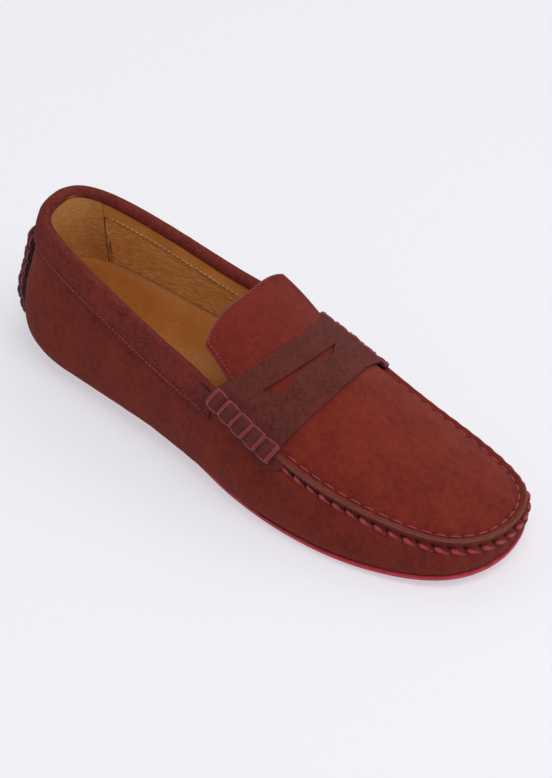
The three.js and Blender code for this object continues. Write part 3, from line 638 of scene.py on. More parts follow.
def threads(name, path, up, radius, finish, body="shoe", sides=8, shade=0.0):
    """Round threads, each a circle carried along its own path of points and closed at both ends."""
    ahead = unit(np.gradient(path, axis=1))
    across = unit(np.cross(ahead, up))
    lift = np.cross(across, ahead)
    turn = full_turn(sides)
    radius = np.broadcast_to(radius, path.shape[:2])[..., None, None]
    rings = path[:, :, None] + radius * (across[:, :, None] * np.cos(turn)[:, None]
                                         + lift[:, :, None] * np.sin(turn)[:, None])
    cap = lambda end: np.broadcast_to(path[:, end, None, None], (len(path), 1, sides, 3))
    grid = np.concatenate([cap(0), rings, cap(-1)], 1)
    shade = np.broadcast_to(shade, path.shape[:2])
    shade = np.concatenate([shade[:, :1], shade, shade[:, -1:]], 1)[..., None]
    return build(name, grid, finish, body, wrap=(False, True), edge=0,
                 shade=np.broadcast_to(shade, grid.shape[:3]))


def stitches(name, place, start, stop, pitch, length, radius, finish, body="shoe", sink=.5):
    """Machine stitches at equal steps along place(u), a point and its upward direction; each
    stitch dives into the leather at both ends as the fourth power of its length."""
    track = np.linspace(start, stop, 1200)
    run = lengths(place(track)[0])
    count = int(run[-1] / pitch)
    q = np.linspace(-1, 1, 7)
    mids = (run[-1] - (count - 1) * pitch) / 2 + pitch * np.arange(count)[:, None]
    points, up = place(np.interp(mids + q * length / 2, run, track))
    lift = radius * .5 - (radius + sink) * q**4
    return threads(name, points + up * lift[:, None], up, radius * (1 - .35 * q**4), finish, body, 6)


def twisted(name, light, dark, diameter, pitch, roughness=.6):
    """Plied thread: bright strands with grooves darkened as painted shade, turning round the thread
    along its run.
    """
    light, dark = tone(*light), tone(*dark)
    finish, tree, bsdf, place = surface(name, roughness, Specular_IOR_Level=.3, Sheen_Weight=.15)
    run = put(tree, "SeparateXYZ", put(tree, "UVMap", uv_map="run").outputs[0])
    turn = times(tree, run.outputs[0], 6.2832 / pitch)
    turn = maths(tree, "ADD", turn, times(tree, run.outputs[1], 4 / diameter))
    strand = maths(tree, "ABSOLUTE", maths(tree, "SINE", turn))
    fray = scatter(tree, place, 900, .3, .7)
    # Painted shade: dark in the grooves between the strands.
    color = mix(tree, strand, dark, light)
    color = mix(tree, times(tree, fray, .35), color, dark)
    tree.links.new(worn_and_shaded(tree, place, color, light, .75), bsdf.inputs["Base Color"])
    relief(tree, bsdf, strand, diameter * .15)
    return finish


# Shared effect: the grain of leather. Wrinkles and pores darken a cloudy ground and give the height.
grain_group, grain_in, grain_out = effect("grain", {
    "Position": ("Vector", None), "Base": ("Color", None), "Dark": ("Color", None),
    "Light": ("Color", None), "Cells": ("Float", 900.0), "Wrinkle": ("Float", .5)},
    {"Color": "Color", "Height": "Float"})
cells = put(grain_group, "TexVoronoi", Vector=grain_in["Position"], Scale=grain_in["Cells"],
            feature="DISTANCE_TO_EDGE").outputs["Distance"]
pores = put(grain_group, "MapRange", cells, 0.0, .25, 0.0, 1.0).outputs[0]
stretched = put(grain_group, "VectorMath", grain_in["Position"], (1, 1, 2.6),
                operation="MULTIPLY").outputs[0]
folds = scatter(grain_group, stretched, 330, .38, .6, 4.0, .6)
clouds = scatter(grain_group, grain_in["Position"], 38, .3, .7)
color = mix(grain_group, clouds, grain_in["Base"], grain_in["Light"])
for layer, strength in ((folds, grain_in["Wrinkle"]), (pores, .35)):
    hollow = times(grain_group, maths(grain_group, "SUBTRACT", 1.0, layer), strength)
    color = mix(grain_group, hollow, color, grain_in["Dark"])
grain_group.links.new(color, grain_out["Color"])
height = maths(grain_group, "ADD", times(grain_group, pores, .35), times(grain_group, folds, .65))
grain_group.links.new(height, grain_out["Height"])


def leather(name, base, dark, light, raw, roughness, cells, wrinkle, depth):
    """Grained leather: shared pores, folds, raw-edge wear and painted shade over a shader with a low
    gloss.
    """
    finish, tree, bsdf, place = surface(name, roughness, Specular_IOR_Level=.35)
    grain = put(tree, "Group")
    grain.node_tree = grain_group
    tree.links.new(place, grain.inputs["Position"])
    for key, value in (("Base", tone(*base)), ("Dark", tone(*dark)), ("Light", tone(*light)),
                       ("Cells", cells), ("Wrinkle", wrinkle)):
        grain.inputs[key].default_value = value
    color = worn_and_shaded(tree, place, grain.outputs["Color"], tone(*raw), .7)
    tree.links.new(color, bsdf.inputs["Base Color"])
    relief(tree, bsdf, grain.outputs["Height"], depth)
    return finish


quarter_tan = leather("quarter_lining_tan", (248, 180, 98), (204, 132, 66), (252, 198, 122),
                      (215, 160, 95), .55, 1100.0, .5, .0006)
heel_tan = leather("heel_lining_tan", (204, 138, 66), (160, 100, 46), (222, 170, 104),
                   (52, 30, 18), .8, 1500.0, .3, .0002)
facing_tan = leather("facing_tan", (250, 174, 92), (160, 98, 44), (205, 142, 76),
                     (220, 170, 105), .5, 1400.0, .15, .0001)
sock_tan = leather("sock_tan", (176, 104, 42), (136, 80, 30), (192, 126, 58), (120, 76, 36),
                   .5, 1300.0, .15, .0001)
cream = twisted("cream_thread", (232, 204, 160), (170, 130, 84), .0006, .0012)
board_finish, tree, bsdf, place = surface("fibre_board", .9)
tree.links.new(mix(tree, scatter(tree, place, 900), tone(130, 108, 80), tone(160, 138, 105)),
               bsdf.inputs["Base Color"])
foam_finish, tree, bsdf, place = surface("latex_foam", .95)
bubbles = scatter(tree, place, 1600, .3, .7)
foam_color = mix(tree, bubbles, tone(196, 186, 168), tone(222, 214, 200))
tree.links.new(foam_color, bsdf.inputs["Base Color"])
relief(tree, bsdf, bubbles, .0003)
for node, finish in (("insole_board", board_finish), ("heel_counter", board_finish),
                     ("footbed_foam", foam_finish), ("collar_padding", foam_finish)):
    for place_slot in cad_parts[node].material_slots:
        place_slot.material = finish


def rim_inset(v):
    """Depth of the padding's inner face under the side; the padding thins towards the rim."""
    return 2.0 + PADDING_THICK * (1 - .65 * mend(v, .75, 1))


def lined(deeper, folds):
    """Inner face of a quarter, so much deeper than the padding, with soft folds."""
    def place(u, v, offset):
        u, v = np.broadcast_arrays(u, v)
        slack = folds * ripple(side(u, v), 26, 8) + folds * .5 * ripple(side(u, v), 11, 9)
        return wall(u, v, offset - rim_inset(v) - deeper + slack * mend(-v, -.97, -.8))
    return place


across = crowded(60, .012)[None]
upright = crowded(34, .02)[:, None]
for name, start, end, finish, deeper, folds, node in (
        ("heel_lining_leather", -1.5, 1.5, heel_tan, .75, .15, "heel_lining"),
        ("outer_quarter_lining_leather", 1.38, 5.02, quarter_tan, 0, .1, "outer_quarter_lining"),
        ("inner_quarter_lining_leather", -5.02, -1.38, quarter_tan, 0, .1, "inner_quarter_lining")):
    v = .05 + .945 * upright
    u = start + (end - start) * across
    u = u * (1 + .14 * (1 - v) * (np.abs(u) < 1.6))
    # Painted shade: each lining is darkened towards its lower part, deeper inside the shoe.
    depth = np.broadcast_to(.55 * mend(-v, -.3, -.1), (v.shape[0], u.shape[1]))
    piece = sheet(name, lined(deeper, folds), u, v, -LINING_THICK, LINING_THICK, finish,
                  shade=depth)
    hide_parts(node)
for name, start, end in (("outer_facing", 1.46, 5.0), ("inner_facing", -5.0, -1.46)):
    u = start + (end - start) * across
    v = below(u, 9.8 - 9.2 * upright)
    sheet(name, lined(.75, .2), u, v, -.8, .8, facing_tan, raw=.8)
for name, sign in (("outer_facing_stitches", 1), ("inner_facing_stitches", -1)):
    place = lambda u: (lined(1.55, .2)(sign * u, below(sign * u, 9.0), 0.0),
                       -wall_normal(sign * u, below(sign * u, 9.0)))
    piece = stitches(name, place, 1.6, 4.95, 2.6, 2.0, .28, cream)
    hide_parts(name.split("_")[0] + "_lining_stitching")
u = 5.1 + (COUNT - 10.2) * across
# Painted shade: the vamp and apron linings are darkened evenly inside the shoe's front.
vamp_inside = sheet("vamp_lining_leather", lambda u, v, o: wall(u, v, o - 2), u, .05 + .85 * upright,
                    -LINING_THICK, LINING_THICK, quarter_tan, shade=.5)
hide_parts("vamp_lining")
apron_inside = sheet("apron_lining_leather", instep_at, .01 + .92 * upright, .08 + .84 * across,
                     -1.9, LINING_THICK, quarter_tan, shade=.45)
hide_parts("apron_lining")

# The sock is cupped: its brim follows the lining, higher behind and at the inner side.
ring = stations(504)
cup = .13 + .42 * mend(-ring, -1.5, .5) + .42 * mend(ring, 14.8, 17.5)
brim = wall(ring, cup, -5.1)
spine = (brim + brim[:, -np.arange(504) % 504]) / 2
top_share = [*np.linspace(0, .9, 24), .93, .96, .98, .99, .997, 1]
share = np.array([*top_share, .997, .98, .9, .5, 0])[:, None, None]
sock = spine + (brim - spine) * share
top = np.arange(len(share))[:, None] < len(top_share)
sock[..., 2] = sole_rise(sock[..., 0]) + np.where(top, 7.7, 6.7) \
    + (brim[..., 2] - sole_rise(brim[..., 0]) - 7.2).clip(0) * mend(share[..., 0], .25, 1.04)**1.4 \
    + .25 * ripple(sock * [1, 1, 0], 60, 2)
sock_edge = np.broadcast_to(mend(share[..., 0], .975, .998) * top, sock.shape[:2])
# Painted shade: the sock darkens at its brim, where it meets the lining.
sock_piece = build("footbed_sock_leather", sock, sock_tan, wrap=(False, True), edge=sock_edge,
                   shade=.5 * mend(np.broadcast_to(share[..., 0], sock.shape[:2]), .93, 1))
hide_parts("footbed_sock")

# ---------- 4. padded collar ----------
# A band of rough suede wrapped over a soft foam roll round the opening. It is sewn down on the
# outside by one row of stitches near its raw lower edge, and turned in and sewn under inside.
SEWN_DOWN, COLLAR_SEAT = 11.2, .4
collar_suede = suede("collar_suede", (110, 33, 27), (70, 17, 16), (164, 66, 56), (120, 62, 52),
                     .95, .0012)
pink_fine = twisted("fine_pink_thread", (176, 62, 78), (84, 22, 30), .0006, .0012)
band = np.array([  # distance below the rim, height above it, offset from the side
    (13, 0, .95), (12.9, 0, 1.3), (12.5, 0, 1.6), (12, 0, 1.65), (11.6, 0, 1.5), (11.2, 0, 1.3),
    (10.6, 0, 1.5), (8.8, 0, 1.85), (6.5, 0, 2.05), (4.8, 0, 2.05), (3, 0, 1.95), (1.4, 0, 1.75),
    (0, .3, 1.4), (0, 1.1, .8), (0, 1.7, -.2), (0, 1.95, -1.3), (0, 1.7, -2.6), (0, 1, -3.6),
    (0, .2, -4.1),
    (.7, 0, -4.45), (1.3, 0, -4.6), (1.9, 0, -4.5), (2.3, 0, -4.2), (2.4, 0, -3.9), (2, 0, -3.8),
    (1, 0, -3.5), (0, .3, -3.1), (0, .6, -1.4), (0, .3, .4), (4, 0, .4), (9, 0, .4), (12.8, 0, .45)])
fine_band = np.linspace(0, len(band), 5 * len(band), endpoint=False)
band = np.stack([np.interp(fine_band, np.arange(len(band) + 1), np.append(c, c[0])) for c in band.T])
kernel = np.array([1, 2, 3, 2, 1]) / 9
band = np.stack([np.convolve(np.concatenate([c[-2:], c, c[:2]]), kernel, "valid") for c in band])
down, lift, out = band[:, :, None]


def fullness(u):
    """The collar thins towards both ends, which the side rolls cover."""
    return 1 - .62 * mend(np.abs(u), 4.35, 4.95)


def collar_seam(u):
    """Groove of the collar's outer stitches, and its outward direction."""
    v = below(u, SEWN_DOWN)
    return wall(u, v, (1.5 - COLLAR_SEAT) * fullness(u) + COLLAR_SEAT), wall_normal(u, v)


u = -5.02 + 10.04 * np.linspace(0, 1, 640)[None]
down = np.broadcast_to(down, (down.shape[0], u.shape[1]))
v = below(u, down)
rim_point = side(u, v)
plump = (.2 * ripple(rim_point, 22, 11) + .1 * ripple(rim_point, 8, 12)) * mend(out, .6, 1.6) \
    + .15 * ripple(rim_point, 22, 11) * mend(-out, 3.5, 4.4)
thin = fullness(u)
out_now = np.where(out > 0, (out + plump - COLLAR_SEAT) * thin + COLLAR_SEAT,
                   out + plump + 1.2 * (1 - thin))
lift_now = (lift + plump * (lift > .2)) * thin
collar = wall(u, v, out_now) + UP * lift_now[..., None]
closed = [np.broadcast_to(column.mean(0), column.shape)
          for column in (collar[:, :1], collar[:, -1:])]
collar = np.concatenate([closed[0], collar, closed[1]], 1)
pad_columns = lambda x: np.concatenate([x[:, :1], x, x[:, -1:]], 1)
edge = mend(down, 12.4, 13.1) * .9
# Painted shade: darker along the groove of the sewn-down row and on the band's underside that lies
# against the side.
shade = .5 * hump(down, SEWN_DOWN, .6) * (out > 0) + .5 * (np.abs(out) < .8) * (down > 1)
collar_piece = build("padded_collar", collar, collar_suede, wrap=(True, False),
                     edge=pad_columns(edge), shade=pad_columns(np.clip(shade, 0, 1)))
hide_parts("collar_band")
piece = stitches("collar_stitches", collar_seam, -4.9, 4.9, 2.3, 1.75, .36, pink_fine, sink=.35)
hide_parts("collar_stitching")

# ---------- 5. apron and its hand-sewn seam ----------
# The plug of brushed suede over the toes. Its edge is turned up against the vamp's, and one thick
# waxed thread goes through both, so short dashes show inside and slanting drops outside.
SLIP_REACH, DASH_INSET = 6, 2.2
apron_suede = suede("apron_suede", (118, 38, 29), (94, 27, 22), (144, 56, 42), (118, 82, 68),
                    .45, .0004)
waxed = twisted("waxed_seam_thread", (196, 66, 86), (96, 22, 34), .0012, .003, .5)
u = np.linspace(THROAT_OUT, THROAT_IN, 673)[None]
s = np.clip(np.minimum(u - THROAT_OUT, THROAT_IN - u) / (TOE_OUT - THROAT_OUT), 0, 1)
E = top_edge(u)
S = (E + E[:, ::-1]) / 2
S[..., 0] = np.where(S[..., 0] > 212, 212 + 22 * np.tanh((S[..., 0] - 212) / 22), S[..., 0])
span = np.linalg.norm((S - E)[..., :2], axis=-1)
near = np.array([.05, .05, .15, .3, .5, .7, .85, 1.05, 1.3, 1.65, 2.1, 2.7, 3.5, 4.6, 6.2, 8.5, 12])
far = np.linspace(0, 1, 36)[1:, None]
w = np.concatenate([near[:, None] / span, near[-1] / span + (1 - near[-1] / span) * far])
tuck = 3 * (1 - mend(s, 0, .12))


def settled(p, rim, away):
    """Plan places set on the instep; the rim's own height dies out with the distance from it."""
    slip = rim[..., 2] - instep_height(rim[..., 0], rim[..., 1])
    p[..., 2] = instep_height(p[..., 0], p[..., 1]) + slip * np.exp(-away / SLIP_REACH)
    return p


# Rows run from the seam (w 0) to the middle of the apron (w 1), and the edge is turned up.
away = w * span
base = E + (S - E) * w[..., None]
base[..., 0] += (1 - s) * STRAP_LEAN * bell(w / 2) + tuck
base = settled(base, E, away)
turned = np.interp(away, [0, *near[1:], 20],
                   [2, 2.2, 2.4, 2.5, 2.45, 2.25, 1.85, 1.35, .9, .5, .28, .26, .42, .68, .95, 1.2,
                    1.4, 1.5])
turned[0] = .5
seam_up = ridge_up(u)[0]
seam_up = evened(seam_up, np.repeat(seam_up[:1], 12, 0), np.repeat(seam_up[-1:], 12, 0), 13)
normal = instep_normal(base[..., 0], base[..., 1])
lean = mend(away, .5, 3)[..., None]
way = unit(seam_up * (1 - lean) + normal * lean)
phase = seam_phase(u)
stitched = sewn(phase)
toeward = mend(E[..., 0], 170, 250)
turned += stitched * np.cos(2 * np.pi * phase) * (.1 + .1 * toeward) * hump(away, 2.6, 1.4)
turned += .22 * ripple(base, 42, 21) * mend(away, 5, 16)
roof = base + way * turned[..., None]
under = base + normal * .25
for end in (0, -1):
    roof[:, end] = under[:, end] = (roof[:, end] + under[:, end]) / 2
edge = mend(-away, -.75, -.2)
# Painted shade: darker in the needle holes and along the seam's valley, dark on the seam row and
# evenly darker on the underside.
shade = 1.2 * needle_hole(phase) * hump(away, 2.2, .6) * stitched + .4 * hump(away, 2.0, .7)
shade = np.clip(shade, 0, 1)
shade[0] = 1
apron = build("apron_suede_plug", np.concatenate([under, roof[::-1]]), apron_suede,
              wrap=(True, False), edge=np.concatenate([edge * 0, edge[::-1]]),
              shade=np.concatenate([shade * 0 + .4, shade[::-1]]))
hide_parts("apron")

k = np.arange(SEAM_STITCHES)[:, None]
q = np.linspace(-1, 1, 9)
drop_u = seam_station(k + .43 * q)
slant = 2.65 + .5 * q + .1 * ripple(top_edge(drop_u), 9, 4)
v = below(drop_u, slant)
normal = wall_normal(drop_u, v)
fat = np.interp(q, [-1, -.8, -.4, .2, 1], [.35, .8, .9, .6, .25]) * (1 + .12 * np.sin(k * 2.3))
rise = .55 + .4 * mend(top_edge(drop_u)[..., 0], 215, 250)
drop = side(drop_u, v) + normal * (rise - .85 * q**4)[..., None]
# Painted shade: each drop darkens towards its thin end, where it goes into the leather.
outer_drops = threads("outer_seam_stitches", drop, normal, fat, waxed, sides=10,
                      shade=.6 * mend(q, -.3, .7))
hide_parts("apron_seam_cord")
dash_u = seam_station(k + .37 * q)
rim = top_edge(dash_u)
dash = settled(rim - outward(dash_u) * DASH_INSET, rim, DASH_INSET)
normal = instep_normal(dash[..., 0], dash[..., 1])
dash = dash + normal * (.6 - .6 * q**4)[:, None]
inner_dashes = threads("inner_seam_stitches", dash, normal, .42 * (1 - .3 * q**2), waxed)

# ---------- 6. saddle strap ----------
# A band of rough suede laid over the instep and caught under the rolls at both sides, with the
# slot cut through it: a straight rear edge and two hollow lobes either side of a small tab.
STRAP_SHARE, STRAP_FLARE = .23, .06
SLOT_ROW, SLOT_PLACE, SLOT_START = .115, .41, 21.2
strap_suede = suede("strap_suede", (90, 34, 30), (64, 21, 20), (136, 66, 58), (108, 54, 46), .9, .001)
t = .03 + .945 * crowded(210, .006)[None]
reach = STRAP_SHARE + STRAP_FLARE * (1 - t) * np.abs(2 * t - 1)
run = lengths(instep_at(np.full_like(t, SLOT_ROW), t)[0])
along = (run - np.interp(SLOT_PLACE, t[0], run))[None]
rear, fore = instep_at(np.array([SLOT_ROW - .05, SLOT_ROW + .05]), np.array([SLOT_PLACE, SLOT_PLACE]))
per_s = np.linalg.norm(fore - rear) / .1
reach = reach + (1.2 * mend(t, .85, 1) - 2.4 * hump(t, .72, .16)) / per_s
lip = np.interp(along + SLOT_START,
                [0, 1.2, 3, 5.5, 8, 10.5, 15, 20, 24, 28, 32, 35, 37, 39.5, 42, 44],
                [0, 2.3, 4.7, 5.6, 5.1, 4, 2.3, 1.1, .8, 1.2, 2.3, 3.2, 2.9, 1.8, .7, 0])
depth = np.convolve(np.pad(lip[0], 3, "edge"), np.ones(7) / 7, "valid")[None] * (lip > 0)
rear_s = np.full_like(t, SLOT_ROW - 2.6 / per_s)
front_s = rear_s + depth / per_s
rear_rows, front_rows = crowded(10, .07)[:, None], crowded(16, .05)[:, None]
s = np.concatenate([rear_s * rear_rows, front_s + (reach - front_s) * front_rows])
t = np.broadcast_to(t, s.shape)
split = len(rear_rows) - 1
is_open = depth[0] > .01
open_faces = np.zeros((s.shape[0] - 1, s.shape[1] - 1), bool)
open_faces[split] = is_open[1:] | is_open[:-1]


def slot_gap(points):
    """Distance to the strap's outer border or the slot's border, whichever is nearer."""
    slot_line = np.concatenate([points[split][is_open], points[split + 1][is_open]])
    gap = np.linalg.norm(points[:, :, None] - slot_line, axis=-1).min(-1)
    return np.minimum(margin(points), gap)


def strap_at(s, t, offset):
    """Point on the instep, moved along its normal, with a slight wave."""
    return instep_at(s, t, offset + .18 * ripple(instep_at(s, t), 20, 31))


strap = sheet("saddle_strap_suede", strap_at, s, t, 1.6, 1.45, strap_suede, gap=slot_gap, radius=.45,
              open_at=open_faces)
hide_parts("saddle_strap")

# ---------- 7. tongue ----------
# A flap of the same brushed suede, lined with tan leather, that comes out from under the strap and
# bends there when it is lifted. A row of fine stitches runs just inside its rounded edge.
TIP_OUT, TIP_IN = np.array([117, -33, 73.0]), np.array([119, 25, 75.0])


def tongue_point(a, t):
    """Straight from the throat line to the free end, whose corners are rounded as a fourth power."""
    a, t = np.broadcast_arrays(a, t)
    root = throat_line(.07 + .86 * t) + np.array([2.2, 0, .3])
    b = t[..., None]
    tip = TIP_OUT * (1 - b) + TIP_IN * b + np.array([3, 0, 3]) * bell(b)
    corner = np.where(t < .5, .3 * np.abs(2 * t - 1)**3.2, .13 * np.abs(2 * t - 1)**5)
    share = (a * (1 - corner))[..., None]
    lean = np.array([-2.4, -2.2, 0]) * share
    return root * (1 - share) + tip * share + lean + UP * 1.6 * bell(np.clip(share, 0, 1))


def tongue_at(a, t, offset):
    """Point on the tongue, moved along its normal, with a soft wave."""
    a, t = np.broadcast_arrays(a, t)
    normal = unit(np.cross(tongue_point(a, t + .01) - tongue_point(a, t - .01),
                           tongue_point(a + .01, t) - tongue_point(a - .01, t)))
    normal = normal * np.sign(normal[..., 2:])
    p = tongue_point(a, t)
    return p + normal * (np.asarray(offset) + .25 * ripple(p, 24, 41) * mend(a, .1, .4))[..., None]


def bends(piece):
    """Bakes the piece's placement into its mesh."""
    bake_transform(piece)


tongue_suede = suede("tongue_suede", (112, 36, 28), (88, 26, 21), (140, 54, 42), (140, 84, 70),
                     .5, .0004)
a, t = crowded(40, .02)[:, None], crowded(50, .02)[None]
tongue = sheet("tongue_suede_flap", tongue_at, a, t, 0, 1.3, tongue_suede, body=None)
lining = sheet("tongue_lining_leather", tongue_at, .02 + .95 * a, .025 + .95 * t, -.95, LINING_THICK,
               quarter_tan, body=None)


def tongue_seam(k):
    """Up one side, round the free end and down the other, just inside the border."""
    corners = [0, .3, .34, .66, .7, 1]
    a = np.interp(k, corners, [.08, .93, .97, .97, .93, .08])
    t = np.interp(k, corners, [.03, .03, .06, .94, .97, .97])
    return tongue_at(a, t, 1.3), unit(tongue_at(a, t, 2) - tongue_at(a, t, 1))


seam = stitches("tongue_stitches", tongue_seam, 0, 1, 2.0, 1.45, .3, pink_fine, body=None, sink=.3)
for piece, node, slot in ((tongue, "tongue", "apron_suede"),
                          (lining, "tongue_lining", "lining_leather"),
                          (seam, "tongue_stitching", "thread")):
    bends(piece)
    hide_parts(node)

# ---------- 8. laced rolls at the sides ----------
# Rolled strips of the strap's suede that cover its ends. Pairs of pink cord cross each roll and draw
# it into pillows, a cord runs down both its sides, and a rounded patch lies under it.
ROLL_WIDTH, ROLL_THICK, PILLOWS = 9, 4, 5
ROLL_FACETS = 30
cord = twisted("pink_lacing_cord", (172, 58, 74), (88, 22, 32), .001, .0024, .55)


def swelling(p):
    """Width and thickness of a roll at pillow p: full between the cords, drawn in at each."""
    wave = np.abs(np.sin(np.pi * p))**.55
    return 1 - .18 * (1 - wave), 1 - .5 * (1 - wave)


def rolled(name, path, width, thick, pillows, finish, swell=0.0, under=None):
    """A superelliptic section carried along path(k) and closed at both ends."""
    k = crowded(pillows * 22, .03)
    middle, across, up = path(k)
    broad, high = swelling(k * pillows)
    end = np.sqrt(np.clip(1 - ((np.abs(2 * k - 1) - .95).clip(0) / .05)**2, 0, 1))
    turn = full_turn(ROLL_FACETS)
    level, rise = [(np.sign(x) * np.abs(x)**.8)[:, None] for x in (np.cos(turn), np.sin(turn))]
    out = (broad * end * width / 2)[:, None, None] * level
    lift = (high * end * thick / 2 * (1 + swell * mend(k, .3, 1)))[:, None, None] * rise
    if under is not None:
        lift = np.where(lift < 0, (under(k) * end)[:, None, None] * rise, lift)
    grid = middle[:, None] + across[:, None] * out + up[:, None] * lift
    grid += up[:, None] * .12 * ripple(grid, 5, 51)[..., None] * end[:, None, None]
    # Painted shade in the valleys between pillows and on the underside, and a painted highlight on
    # the top of each pillow in the raw colour.
    valley = (1 - broad) / .18
    shade = .75 * valley[:, None] + .35 * (np.sin(turn) < -.2)
    edge = .3 * (1 - valley[:, None]) * (np.sin(turn) > .3)
    return build(name, grid, finish, wrap=(False, True), edge=edge, shade=np.clip(shade, 0, 1))


def laced(name, path, width, thick, pillows, finish, radius, sunk=0.0, swell=0.0):
    """Two cords over each valley, half round the roll, and one down each side."""
    knots = (.03 + .94 * np.arange(pillows + 1) / pillows)[:, None]
    knots = knots + np.array([-.055, .055]) / pillows
    a = np.radians(np.linspace(-118, 118, 17))
    k = np.broadcast_to(knots.reshape(-1, 1), (knots.size, 17)) + .006 * np.sin(a * 1.2)
    middle, across, up = path(k)
    broad, high = swelling(k * pillows)
    stand = high * thick / 2 * (1 + swell * mend(k, .3, 1)) + radius * .5
    over = middle + across * (np.sin(a) * (broad * width / 2 + radius * .5))[..., None] \
        + up * (np.cos(a) * stand)[..., None]
    away = across * np.sin(a)[:, None] + up * np.cos(a)[:, None]
    # Painted shade on the rungs where they turn down the roll's sides.
    rungs = threads(name + "_rungs", over, away, radius, finish, shade=.5 * mend(np.abs(a), .9, 1.6))
    k = np.broadcast_to(np.linspace(.01, .99, 40 * pillows), (2, 40 * pillows))
    middle, across, up = path(k)
    broad, high = swelling(k * pillows)
    sides = np.array([-1, 1])[:, None]
    rail = middle + across * (sides * (broad * width / 2 + radius * .2))[..., None] \
        + up * ((high - .62) * thick * .3 - sunk)[..., None]
    # Painted shade on the rails at each valley between pillows.
    past = k * pillows - np.round(k * pillows)
    rails = threads(name + "_rails", rail, up, radius * (1 - .35 * hump(past, 0, .1)), finish,
                    shade=.6 * hump(past, 0, .12))
    return rungs, rails


def side_path(sign):
    """Middle, outward side and top direction of a side roll, on the seam's ridge."""
    def path(k):
        at = .05 + .85 * k if sign < 0 else .8 * k
        u = THROAT_OUT + 1.5 * at if sign < 0 else COUNT - THROAT_OUT - 1.5 * at
        s, t = 1.5 * at / 4.5, np.full_like(at, 0.0 if sign < 0 else 1.0)
        plan = apron_point(s, t)
        up = unit(instep_normal(plan[..., 0], plan[..., 1]) + wall_normal(u, 1.0))
        ahead = unit(top_edge(u + .05) - top_edge(u - .05))
        across = unit(np.cross(up, ahead))
        seat = instep_at(s, t, 1.5) + (up * 2.3 if sign < 0 else up * 2.1 + np.array([-.6, -3.1, 0]))
        return seat, across, up
    return path


def on_patch(u, v, offset):
    """Point on the side, raised behind the throat so that the patch lies on the collar's end."""
    return wall(u, v, offset + 1.5 * mend(THROAT_OUT - np.minimum(u, COUNT - u), -.14, .06))


for name, sign in (("outer", -1), ("inner", 1)):
    path = side_path(sign)
    roll_piece = rolled(name + "_laced_roll", path, ROLL_WIDTH, ROLL_THICK, PILLOWS, strap_suede)
    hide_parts(name + "_roll")
    rungs, rails = laced(name + "_lacing", path, ROLL_WIDTH, ROLL_THICK, PILLOWS, cord, .48)
    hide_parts(name + "_roll_lacing")
    k, drop = crowded(40, .02)[:, None], crowded(12, .06)[None]
    station = THROAT_OUT + 1.5 * (-.17 + 1.17 * k)
    station = station if sign < 0 else COUNT - station
    oval = 7.2 * np.clip(1 - np.abs(2 * k - 1)**4, 0, 1)**.5 + .3
    patch_piece = sheet(name + "_roll_backing", on_patch, station, below(station, oval * drop - .2),
                        .9, 1.3, strap_suede)
    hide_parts(name + "_roll_patch")

# ---------- 9. heel stay and laced heel roll ----------
# A strip of dark leather over the back seam, under a wider roll of the same leather that is
# laced in six scallops and takes the wear of the driver's heel.
HEEL_ROLL_WIDTH, HEEL_ROLL_THICK, HEEL_PILLOWS, HEEL_SWELL = 13, 5, 6, .7
stay_leather = leather("heel_stay_leather", (60, 34, 29), (36, 19, 17), (84, 50, 42), (110, 78, 64),
                       .7, 900.0, .4, .0004)
seam_foot, beside = side(np.array([0, .25]), .4)
per_station = np.linalg.norm(beside - seam_foot) / .25
v = .08 + .74 * crowded(40, .02)[:, None]
u = 7.5 / per_station * (2 * crowded(14, .05)[None] - 1)
stay = sheet("heel_stay_strip", wall, u, v, .1, 1.3, stay_leather)
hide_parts("heel_stay")


def heel_stand(k):
    """Height of the heel roll's middle over the side, growing from top to bottom."""
    return 5 + 2 * mend(k, .3, .8)


def heel_path(k):
    """Down the back seam, on top of the stay."""
    v = .76 - .62 * k
    u = np.zeros_like(v)
    middle, up = wall(u, v, heel_stand(k)), wall_normal(u, v)
    return middle, unit(np.cross(up, side(u, v - .02) - side(u, v + .02))), up


heel_roll = rolled("heel_laced_roll", heel_path, HEEL_ROLL_WIDTH, HEEL_ROLL_THICK, HEEL_PILLOWS,
                   stay_leather, HEEL_SWELL, lambda k: heel_stand(k) - 1.2)
rungs, rails = laced("heel_lacing", heel_path, HEEL_ROLL_WIDTH, HEEL_ROLL_THICK, HEEL_PILLOWS,
                     cord, .5, 1.6, HEEL_SWELL)
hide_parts("heel_roll")
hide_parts("heel_roll_lacing")

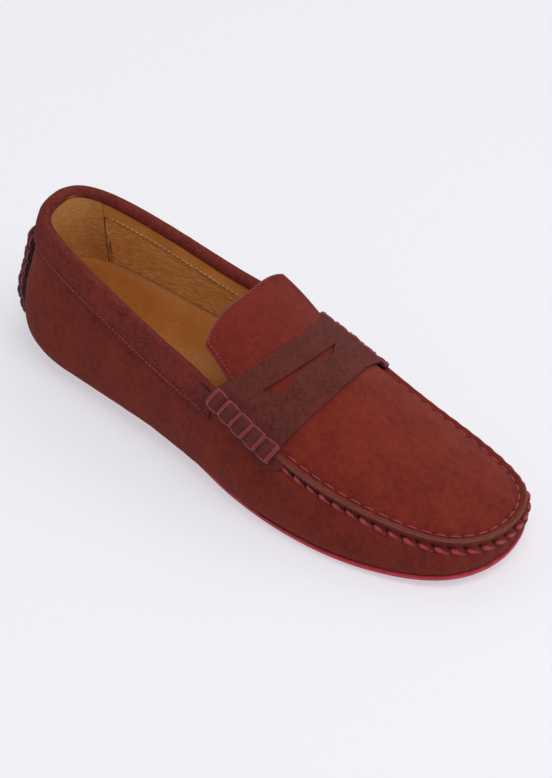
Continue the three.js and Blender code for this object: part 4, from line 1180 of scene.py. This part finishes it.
# ---------- 90. studio ----------
# A plain pale floor under soft lights from above and both sides; the camera looks down on the toe
# from the outer side.
paper, tree, bsdf, place = surface("paper", .9, Specular_IOR_Level=.1)
bsdf.inputs["Base Color"].default_value = (.4, .4, .41, 1)
bsdf.inputs["Emission Color"].default_value = (.95, .94, 1, 1)
bsdf.inputs["Emission Strength"].default_value = .52
far = 4000.0
corners = np.array([[(-far, -far, 0), (-far, far, 0)], [(far, -far, 0), (far, far, 0)]])
floor = build("floor", corners, paper, body=None)
floor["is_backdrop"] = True

scene = bpy.context.scene
scene.view_settings.view_transform = "Standard"
world = bpy.data.worlds.new("room")
world.use_nodes = True
world.node_tree.nodes["Background"].inputs["Color"].default_value = (.97, .97, 1, 1)
world.node_tree.nodes["Background"].inputs["Strength"].default_value = .4
scene.world = world


def direction(azimuth, elevation):
    """Unit vector towards a compass angle (0 looks along +y, 90 along -x) and a height angle."""
    a, e = np.radians([azimuth, elevation])
    return np.array([np.sin(a) * np.cos(e), -np.cos(a) * np.cos(e), np.sin(e)])


def aim(thing, back, right, target, distance):
    """Places a lamp or the camera along back from the target, facing it."""
    above = np.cross(back, right)
    columns = np.column_stack([right, above, back, target + back * distance])
    thing.matrix_world = Matrix(np.vstack([columns, [0, 0, 0, 1]]).tolist())


for label, azimuth, elevation, watts, size in (("key", 60, 66, 9, .9), ("left", -75, 35, 1.6, 1.0),
                                               ("right", 120, 38, 3, 1.0), ("back", 200, 50, 3, 1.0)):
    light = bpy.data.lights.new(label, "AREA")
    light.energy, light.size = watts, size
    lamp = bpy.data.objects.new(label, light)
    scene.collection.objects.link(lamp)
    back = direction(azimuth, elevation)
    aim(lamp, back, unit(np.cross(UP, back)), np.array([0, 0, .03]), 1.4)

eye = bpy.data.cameras.new("eye")
eye.lens, eye.sensor_width, eye.clip_end = 142.8, 36, 20
camera = bpy.data.objects.new("eye", eye)
scene.collection.objects.link(camera)
VIEW_AZIMUTH, VIEW_HEIGHT, VIEW_TILT = 33.7, 39.1, 4.0
back = direction(VIEW_AZIMUTH, VIEW_HEIGHT)
level_right = unit(np.cross(UP, back))
above = np.cross(back, level_right)
roll = np.radians(VIEW_TILT)
right = level_right * np.cos(roll) + above * np.sin(roll)
aim(camera, back, right, np.array([.004375, .01081, .025]), 1.4)
scene.camera = camera

{"cad": cad_box, "visual": [list(corner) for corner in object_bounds()]}
